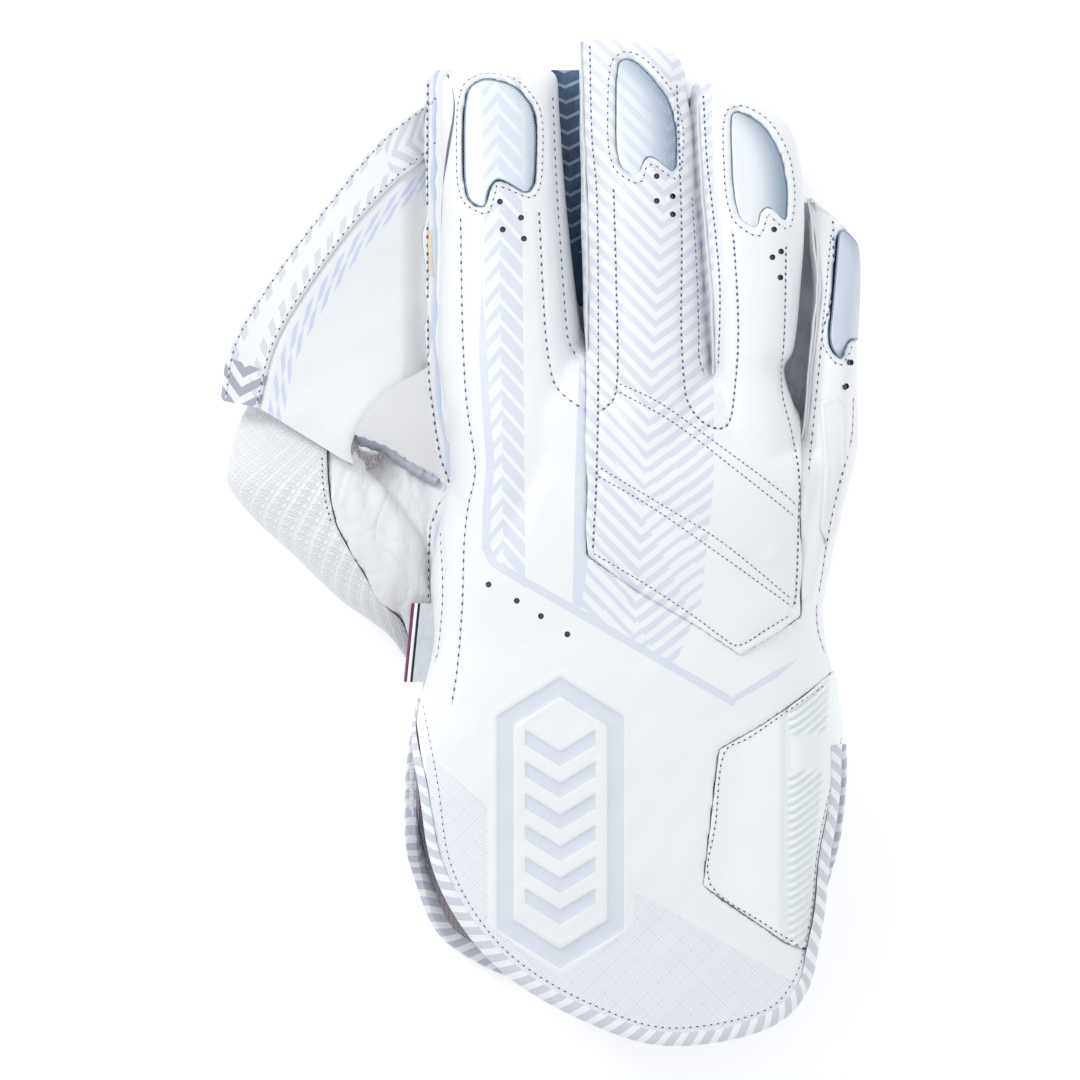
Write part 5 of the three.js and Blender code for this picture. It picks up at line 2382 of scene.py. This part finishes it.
@dataclass(frozen=True)
class Plain:
    """Thread, needle holes and other plain finishes."""

    name: str
    tint: Colour
    roughness: float = 0.6
    glow: float = 0.0

    def make(self) -> bpy.types.Material:
        """Builds the finish.

        Returns:
            The material.
        """
        shader = Shader(self.name, self.roughness, Emission_Strength=self.glow)
        shader.surface.inputs["Base Color"].default_value = self.tint
        return shader.material


def dress(piece: bpy.types.Object, finish: Any) -> None:
    """Gives a piece one finish and smooth faces.

    Args:
        piece: the piece.
        finish: the look that makes its material.
    """
    piece.data.materials.clear()
    piece.data.materials.append(finish.make())
    choose(piece)
    bpy.ops.object.shade_smooth_by_angle(angle=math.radians(42))


@dataclass
class Studio:
    """Pale floor, soft light and a camera that looks straight down."""

    height: float = 2.4
    frame: float = 0.3434
    subject: float = 0.03
    glow: float = 0.25

    def build(self) -> None:
        """Places the floor, the lights and the camera."""
        scene = bpy.context.scene
        scene.view_settings.view_transform = "Standard"
        world = bpy.data.worlds.new("soft_sky")
        world.use_nodes = True
        world.node_tree.nodes["Background"].inputs["Color"].default_value = (0.95, 0.97, 1.0, 1.0)
        world.node_tree.nodes["Background"].inputs["Strength"].default_value = 0.79
        scene.world = world
        clear_selection()
        bpy.ops.mesh.primitive_plane_add(size=6)
        floor = bpy.context.object
        floor.name = "floor"
        paint = Plain("floor_paint", (0.96, 0.96, 0.965, 1.0), 0.95, self.glow)
        floor.data.materials.append(paint.make())
        self.lamp("key_light", (-0.9, 1.0, 1.0), 0.7, 11.5)
        self.lamp("fill_light", (1.2, -0.6, 1.2), 1.2, 4.0)
        bpy.ops.object.camera_add(location=(0, 0, self.height), rotation=(0, 0, 0))
        camera = bpy.context.object
        camera.data.sensor_width = 36
        camera.data.lens = 36 * (self.height - self.subject) / self.frame
        camera.data.clip_end = 20
        scene.camera = camera

    def lamp(self, name: str, place: tuple[float, float, float], size: float, power: float) -> None:
        """A square soft light that looks at the glove.

        Args:
            name: the lamp's name.
            place: its place.
            size: its size.
            power: its power in watts.
        """
        turn = (Vector((0, 0, 0)) - Vector(place)).to_track_quat("-Z", "Y").to_euler()
        bpy.ops.object.light_add(type="AREA", location=place, rotation=turn)
        light = bpy.context.object
        light.name = name
        light.data.size = size
        light.data.energy = power
def wrap_marks(piece: bpy.types.Object, rows: Sequence[Section]) -> None:
    """Keeps the run round a form and along it, so that a pattern wraps it evenly.

    Args:
        piece: the piece.
        rows: the form's sections.
    """
    points = positions(piece)
    table = smooth_rows(np.array(rows, float), Forms.STEPS)
    sizes = (np.interp(points[:, 1] / LENGTH, table[:, 0], column) for column in table.T[1:])
    left, right, low, high = sizes
    half = WIDTH * (right - left) / 2
    tall = HEIGHT * (high - low) / 2
    across = (points[:, 0] - WIDTH * (left + right) / 2) / half
    rise = (points[:, 2] - HEIGHT * (high + low) / 2) / tall
    turn = np.arctan2(rise, across)
    turn = np.where(turn < -np.pi / 2, turn + 2 * np.pi, turn)
    size = (np.median(half) + np.median(tall)) / 2
    attribute(piece, MARKS, np.column_stack([turn * size, points[:, 1], points[:, 2]]))


def emblem_mask(plan: np.ndarray, growth: float) -> np.ndarray:
    """Where the pressed emblem lies, from 0 to 1, its outlines moved out by a growth.

    Args:
        plan: points of the plan.
        growth: how far it is moved out, or in where negative.

    Returns:
        One share for each point.
    """
    across, along = np.abs(plan - EMBLEM_CENTRE).T
    half_width, half_height = EMBLEM_RING
    ends = (along + across * EMBLEM_SLOPE - half_height) * EMBLEM_STEEPNESS
    ring = np.maximum(across - half_width, ends) - growth
    inner = -EMBLEM_BAND - 2 * growth
    band = 1 - blend_step(ring, -SOFT_EDGE, SOFT_EDGE)
    band *= blend_step(ring, inner - SOFT_EDGE, inner + SOFT_EDGE)
    rise = plan[:, 1] - EMBLEM_STACK - across * EMBLEM_SLOPE
    turn = rise / EMBLEM_PITCH - EMBLEM_SHARE / 2
    steps = blend_step(np.cos(2 * np.pi * turn), -0.15 - 0.2 * growth, 0.4 - 0.2 * growth)
    past = np.maximum(across - EMBLEM_CORE[0], np.abs(rise + EMBLEM_LOW) - EMBLEM_CORE[1]) - growth
    return np.maximum(band, steps * (1 - blend_step(past, -SOFT_EDGE, SOFT_EDGE)))


def window_rims() -> list[np.ndarray]:
    """The outlines of the tip guards."""
    return [window(outline, GAP) for outline in TIP_GUARDS.values()]


def window_rows() -> list[np.ndarray]:
    """Stitch rows round the tip guards."""
    rows = [window(outline, WINDOW_ROW) for outline in TIP_GUARDS.values()]
    return [np.vstack([row, row[:1]]) for row in rows]


def sculpt_back(piece: bpy.types.Object) -> None:
    """Puffs the back beside its stitches, rims its windows and presses the emblem in.

    Args:
        piece: the piece.
    """
    back = Relief(piece)
    back.push(0.25 * ripples(back.plan, 38, seed=3) + 0.1 * ripples(back.plan, 12, seed=4))
    back.groove(rows_of(INDEX_ROWS) + rows_of(LITTLE_ROWS), 0.45, 0.9, puff=0.35)
    back.groove(rows_of(SIDE_ROWS), 0.3, 0.8)
    back.groove(window_rows(), *WINDOW_GROOVE)
    back.welt(window_rims(), *WINDOW_WELT)
    back.relax(window_rims(), 2.2, 8)
    back.push(EMBLEM_RIM * emblem_mask(back.plan, 1.6) - EMBLEM_DEPTH * emblem_mask(back.plan, 0.0))
    back.finish()


def sculpt_panel(piece: bpy.types.Object) -> None:
    """Quilts the knuckle panel between its double rows and rims its windows.

    Args:
        piece: the piece.
    """
    flex = Relief(piece)
    flex.push(0.2 * ripples(flex.plan, 26, seed=5))
    flex.groove(rows_of(DOUBLE_ROWS), 0.55, 1.0, puff=0.9)
    flex.groove(rows_of(STALL_ROWS), 0.4, 0.9, puff=0.3)
    flex.groove(window_rows(), *WINDOW_GROOVE)
    flex.welt(window_rims(), *WINDOW_WELT)
    flex.relax(window_rims(), 2.6, 14)
    flex.finish()


def sculpt_insert(piece: bpy.types.Object) -> None:
    """Raises the slanting ribs of the side insert beside a fold that runs along it.

    Args:
        piece: the piece.
    """
    side = Relief(piece)
    x, y = side.plan.T
    zone = blend_step(x, 77.6, 79.4) * (1 - blend_step(x - 0.09 * (y + 67), 89.0, 90.6))
    plain = blend_step(y, -74.0, -71.5) * (1 - blend_step(y, -62.5, -60.0))
    rise = y - 0.55 * (x - 78) - 0.018 * (x - 78) ** 2
    side.push(0.5 * np.sin(rise * 2 * np.pi / RIB_PITCH) * zone * (1 - plain))
    side.push(-0.7 * np.exp(-(((x - 77.6) / 1.3) ** 2)))
    side.finish()


def sculpt_strip(piece: bpy.types.Object) -> None:
    """Sinks the middle of the little finger's strip within its edge.

    Args:
        piece: the piece.
    """
    strip = Relief(piece)
    inside = distance_to(strip.plan, placed(SIDE_STRIP), closed=True)
    strip.push(-0.35 * blend_step(inside, 1.2, 2.0))
    strip.finish()


def sculpt_thumb(piece: bpy.types.Object) -> None:
    """Wrinkles the soft leather of the thumb.

    Args:
        piece: the piece.
    """
    thumb = Relief(piece)
    wrinkled = 0.6 * ripples(thumb.plan * (1, 0.45), 9, seed=11)
    wrinkled = wrinkled - 0.5 * creases(thumb.plan * (1, 0.4), 16, 0.16, 12)
    wrinkled -= 0.35 * creases(thumb.plan * (1, 0.35), 6, 0.12, 13)
    thumb.push(wrinkled)
    thumb.finish()


SOFT_EDGE = 0.6
EMBLEM_DEPTH = 0.85
EMBLEM_RIM = 0.3
WINDOW_ROW = 2.4
WINDOW_GROOVE = (0.3, 0.7)
WINDOW_WELT = (0.35, 2.2)
RIB_PITCH = 2.7
WEB_THICKNESS = 2.2
BAND_THICKNESS = 4.4
# Painted shadow of the needle holes.
SHADOW: Colour = (0.1, 0.12, 0.2, 1.0)
STITCHED = (
    "back_panel", "flex_panel", "side_panel", "thumb_back", "thumb_face", "little_side_strip", "index_seam",
    "web_band",
)
BACK_PRINTS = (
    Print.LINE, Print.SPEAR, Print.INDEX_CHEVRONS, Print.PANEL_CHEVRONS, Print.CUFF_DIAMONDS, Print.EMBLEM,
)


class Slot(Enum):
    """The materials of the finished part."""

    LEATHER = "white_leather"
    RUBBER = "palm_rubber"
    WEB = "web_leather"
    RAW_EDGE = "raw_edge_leather"
    TRIM = "grey_blue_binding"
    INSERT = "gloss_insert"
    STRIP = "moulded_strip"
    TAPE = "striped_binding"
    LABEL = "silver_tape"
    LINING = "knitted_lining"
    GUARD = "ice_blue_guard"


class Extra(NamedTuple):
    """A small piece of the scene alone, with its look."""

    piece: bpy.types.Object
    finish: Any
    slot: Slot


class ShadedGapLook(NamedTuple):
    """How deep the leather lies in a gap between two stalls, and its colours, darkened with painted shade.
    """

    depth: float
    tint: Colour
    bright: Colour
    lined: bool


# Gusset colours: partly the leather's own colour, partly painted shade of the deep gap between the stalls.
GAP_SHADED_LOOKS = {
    "index": ShadedGapLook(0.7, (0.02, 0.06, 0.14, 1.0), (0.1, 0.18, 0.3, 1.0), True),
    "middle": ShadedGapLook(0.6, (0.02, 0.03, 0.05, 1.0), (0.07, 0.09, 0.13, 1.0), False),
    "ring": ShadedGapLook(1.05, (0.4, 0.4, 0.47, 1.0), (0.64, 0.64, 0.7, 1.0), False),
}


class Glove:
    """The whole glove, from its shells to its stitches."""

    def __init__(self) -> None:
        """Takes the sizes of the shells and of the web's band, with nothing built yet."""
        self.shells = HandShells()
        self.band = Slab(BAND_INNER_EDGE, BAND_OUTER_EDGE, BAND_THICKNESS, across=24)
        self.pieces: dict[str, bpy.types.Object] = {}
        self.extras: dict[str, Extra] = {}

    def build_shells(self) -> None:
        """Cuts the hand and the thumb into their sewn pieces."""
        self.pieces.update(self.shells.build())
        self.pieces.update(Thumb().build(self.shells.skin, self.shells.hollow))
        self.skin = BVHTree.FromObject(self.shells.skin, bpy.context.evaluated_depsgraph_get())

    def build_edges(self) -> None:
        """Builds the web, the seams, the bindings, the label and the lining."""
        pieces, skin = self.pieces, self.skin
        pieces["web_panel"] = Web(WEB_FREE_EDGE, BAND_INNER_EDGE, WEB_THICKNESS).build("web_panel")
        pieces["web_band"] = self.band.build("web_band")
        pieces["index_seam"] = LayeredSeam().build("index_seam", skin)
        pieces["crotch_binding"] = CrotchBinding().build("crotch_binding")
        pieces["back_binding"] = Binding(BACK_HEM, True).build("back_binding", skin)
        pieces["palm_binding"] = Binding(PALM_HEM, False).build("palm_binding", skin)
        pieces["label_tab"] = LabelLoop().build("label_tab")
        pieces["cuff_lining"] = Lining().build("cuff_lining")

    def sculpt(self) -> None:
        """Gives the shells their quilting, seams, creases and ribs, and drills the vents."""
        sculpt_back(self.pieces["back_panel"])
        sculpt_panel(self.pieces["flex_panel"])
        sculpt_insert(self.pieces["side_panel"])
        sculpt_strip(self.pieces["little_side_strip"])
        for node in ("back_panel", "flex_panel", "thumb_back"):
            modify(self.pieces[node], "SMOOTH", factor=0.35, iterations=2)
        sculpt_thumb(self.pieces["thumb_back"])
        self.shells.perforate(self.pieces["back_panel"], self.pieces["flex_panel"])

    def fold(self) -> None:
        """Adds the web's turned edge, the gussets and the standing seams."""
        self.extras["web_underside"] = Extra(TurnedLip().build("web_underside"), Suede("suede"), Slot.WEB)
        for place, (stall, (left, right)) in enumerate(GAPS.items()):
            look = GAP_SHADED_LOOKS[stall]
            gusset = FingerGusset(left, right, look.depth, seed=80 + place).build(f"{stall}_gusset")
            finish = ShadedGussetLeather(f"{stall}_gusset_shaded_leather", look.tint, look.bright, look.lined)
            self.extras[f"{stall}_gusset"] = Extra(gusset, finish, Slot.LEATHER)
        for stall, path in STANDING_SEAMS.items():
            growth = 0.0 if stall == "little" else self.shells.panel_rise
            seam = StandingSeam(path, Forms.STALLS[stall], growth).build(f"{stall}_seam")
            finish = Leather(f"{stall}_seam_leather", tint=grey(0.8, 0.014))
            self.extras[f"{stall}_seam"] = Extra(seam, finish, Slot.RAW_EDGE)

    def mark(self) -> None:
        """Keeps the distances that the patterns of the rubber and the guards need."""
        wrap_marks(self.pieces["thumb_face"], THUMB)
        wrap_marks(self.pieces["palm_panel"], HAND)
        for name, outline in TIP_GUARDS.items():
            self.mark_guard(self.pieces[f"{name}_tip_guard"], window(outline, 0.0))
        discard(self.shells.skin, self.shells.hollow)

    @staticmethod
    def mark_guard(guard: bpy.types.Object, outline: np.ndarray) -> None:
        """Keeps the distances from a guard's rim and from its right side.

        Args:
            guard: the guard.
            outline: corners of the outline, in shares of the glove's sizes.
        """
        spots = positions(guard)
        gap = distance_to(spots[:, :2], outline, closed=True)
        rim = resampled(np.vstack([outline, outline[:1]]), 200)
        rows = np.linspace(rim[:, 1].min(), rim[:, 1].max(), 40)
        reach = np.array([rim[np.abs(rim[:, 1] - row) < 2.0, 0].max() for row in rows])
        evened = np.convolve(np.pad(reach, 2, mode="edge"), np.ones(5) / 5, "valid")
        inset = np.interp(spots[:, 1], rows, evened)
        attribute(guard, MARKS, np.column_stack([gap, inset - spots[:, 0], gap]))

    def sew(self) -> None:
        """Sinks shadows in the vents and sews every row of stitches."""
        leathers = skin_tree(piece for node, piece in self.pieces.items() if node in STITCHED)
        self.shade_vents(leathers)
        sewing = {
            "index": (Stitching(2.7), [LayeredSeam.row()] + rows_of(INDEX_ROWS) + rows_of(LITTLE_ROWS)),
            "stall": (Stitching(2.1), rows_of(STALL_ROWS)),
            "double": (Stitching(1.7, thread=0.24, hole=0.27), rows_of(DOUBLE_ROWS)),
            "window": (Stitching(2.2, thread=0.24, hole=0.28), window_rows()),
            "side": (Stitching(2.0, thread=0.24, hole=0.28), rows_of(SIDE_ROWS) + rows_of(THUMB_ROW)),
            "hem": (Stitching(2.2, thread=0.26, hole=0.26), [hem_curve(BACK_HEM, 6.1)]),
            "band": (Stitching(2.6, thread=0.24, hole=0.28), [self.band.row(0.1), self.band.row(0.9)]),
        }
        for group, (stitching, rows) in sewing.items():
            thread, holes = stitching.sew(f"{group}_stitch", rows, leathers)
            pale = Plain(f"{group}_thread", grey(0.78, 0.01), 0.7)
            self.extras[thread.name] = Extra(thread, pale, Slot.LEATHER)
            # The needle holes are dark ovals: painted shadow.
            self.extras[holes.name] = Extra(holes, Plain(f"{group}_shadow", SHADOW, 0.9), Slot.LEATHER)

    def shade_vents(self, leathers: BVHTree) -> None:
        """Lays a dark disc deep in each vent hole, a painted shadow of its depth.

        Args:
            leathers: the finished leather.
        """
        deep = []
        mouths = (Stitching.on_leather(np.array(spot), self.skin) for spot in VENTS)
        for spot, normal in filter(None, mouths):
            rim = leathers.find_nearest(Vector((spot[0], spot[1], spot[2] + 4.0)) * MM)[0]
            centre = np.array([spot[0], spot[1], rim.z / MM])
            deep.append(Stitching.frame(centre, normal, np.array([1.0, 0.3, 0.0])))
        radius = self.shells.vent_radius
        shade = Stitching.copies("vent_painted_shadows", deep, (radius * 1.1, radius * 1.1, 0.3), -0.9)
        # Near black discs: painted shadow inside the vents.
        finish = Plain("vent_shadow", (0.05, 0.065, 0.1, 1.0), 0.9)
        self.extras["vent_painted_shadows"] = Extra(shade, finish, Slot.LEATHER)

    def looks(self) -> dict[str, tuple[Any, Slot]]:
        """The finish and the slot of each node.

        Returns:
            A pair for each node.
        """
        palm_tape = StripedTape("palm_tape", light=grey(0.8, 0.015), dark=(0.5, 0.52, 0.6, 1.0))
        looks = {
            "back_panel": (Leather("back_leather", printed=BACK_PRINTS), Slot.LEATHER),
            "flex_panel": (Leather("panel_leather", printed=(Print.PANEL_CHEVRONS,)), Slot.LEATHER),
            "thumb_back": (Leather("thumb_leather", tint=grey(0.8, 0.012), wrinkle=0.3), Slot.LEATHER),
            "palm_panel": (Rubber("palm_rubber"), Slot.RUBBER),
            "thumb_face": (Rubber("thumb_rubber"), Slot.RUBBER),
            "web_panel": (TickedLeather("web_leather"), Slot.WEB),
            "web_band": (BandLeather("band_leather", self.band.length), Slot.WEB),
            "index_seam": (RawEdges("edge_leather"), Slot.RAW_EDGE),
            "crotch_binding": (Leather("crotch_trim", tint=(0.42, 0.45, 0.52, 1.0)), Slot.TRIM),
            "side_panel": (Moulded("gloss_insert", (0.84, 0.88, 0.87, 1.0)), Slot.INSERT),
            "little_side_strip": (Moulded("strip_finish", grey(0.83, 0.01), 0.4, 0.1), Slot.STRIP),
            "back_binding": (StripedTape("back_tape"), Slot.TAPE),
            "palm_binding": (palm_tape, Slot.TAPE),
            "label_tab": (LabelTape("label_tape"), Slot.LABEL),
            "cuff_lining": (Knit("lining_knit"), Slot.LINING),
        }
        guards = (
            TipGuard("index_guard", 0.3, 7.0, Print.INDEX_CHEVRONS),
            TipGuard("middle_guard", 0.95, 13.0, Print.PANEL_CHEVRONS),
            TipGuard("ring_guard", 0.95, 12.0),
            TipGuard("little_guard", 0.7, 8.0, tint=(0.58, 0.63, 0.7, 1.0)),
        )
        for name, finish in zip(TIP_GUARDS, guards):
            looks[f"{name}_tip_guard"] = (finish, Slot.GUARD)
        return looks

    def dress(self) -> None:
        """Gives every piece its finish and hands it to the frame."""
        looks = self.looks()
        for node, piece in self.pieces.items():
            finish, slot = looks[node]
            piece.name = f"{node}_skin"
            dress(piece, finish)
            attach(piece, "root")
            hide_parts(node)
            log.info("%s: %d faces", piece.name, len(piece.data.polygons))
        for name, extra in self.extras.items():
            dress(extra.piece, extra.finish)
            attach(extra.piece, "root")
            log.info("%s: %d faces", name, len(extra.piece.data.polygons))


def main() -> None:
    """Builds the glove piece by piece, dresses it and sets the stage."""
    logging.basicConfig(level=logging.INFO, format="%(message)s")
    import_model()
    glove = Glove()
    glove.build_shells()
    glove.build_edges()
    glove.sculpt()
    glove.fold()
    glove.mark()
    glove.sew()
    glove.dress()
    Studio().build()


if __name__ == "__main__":
    main()
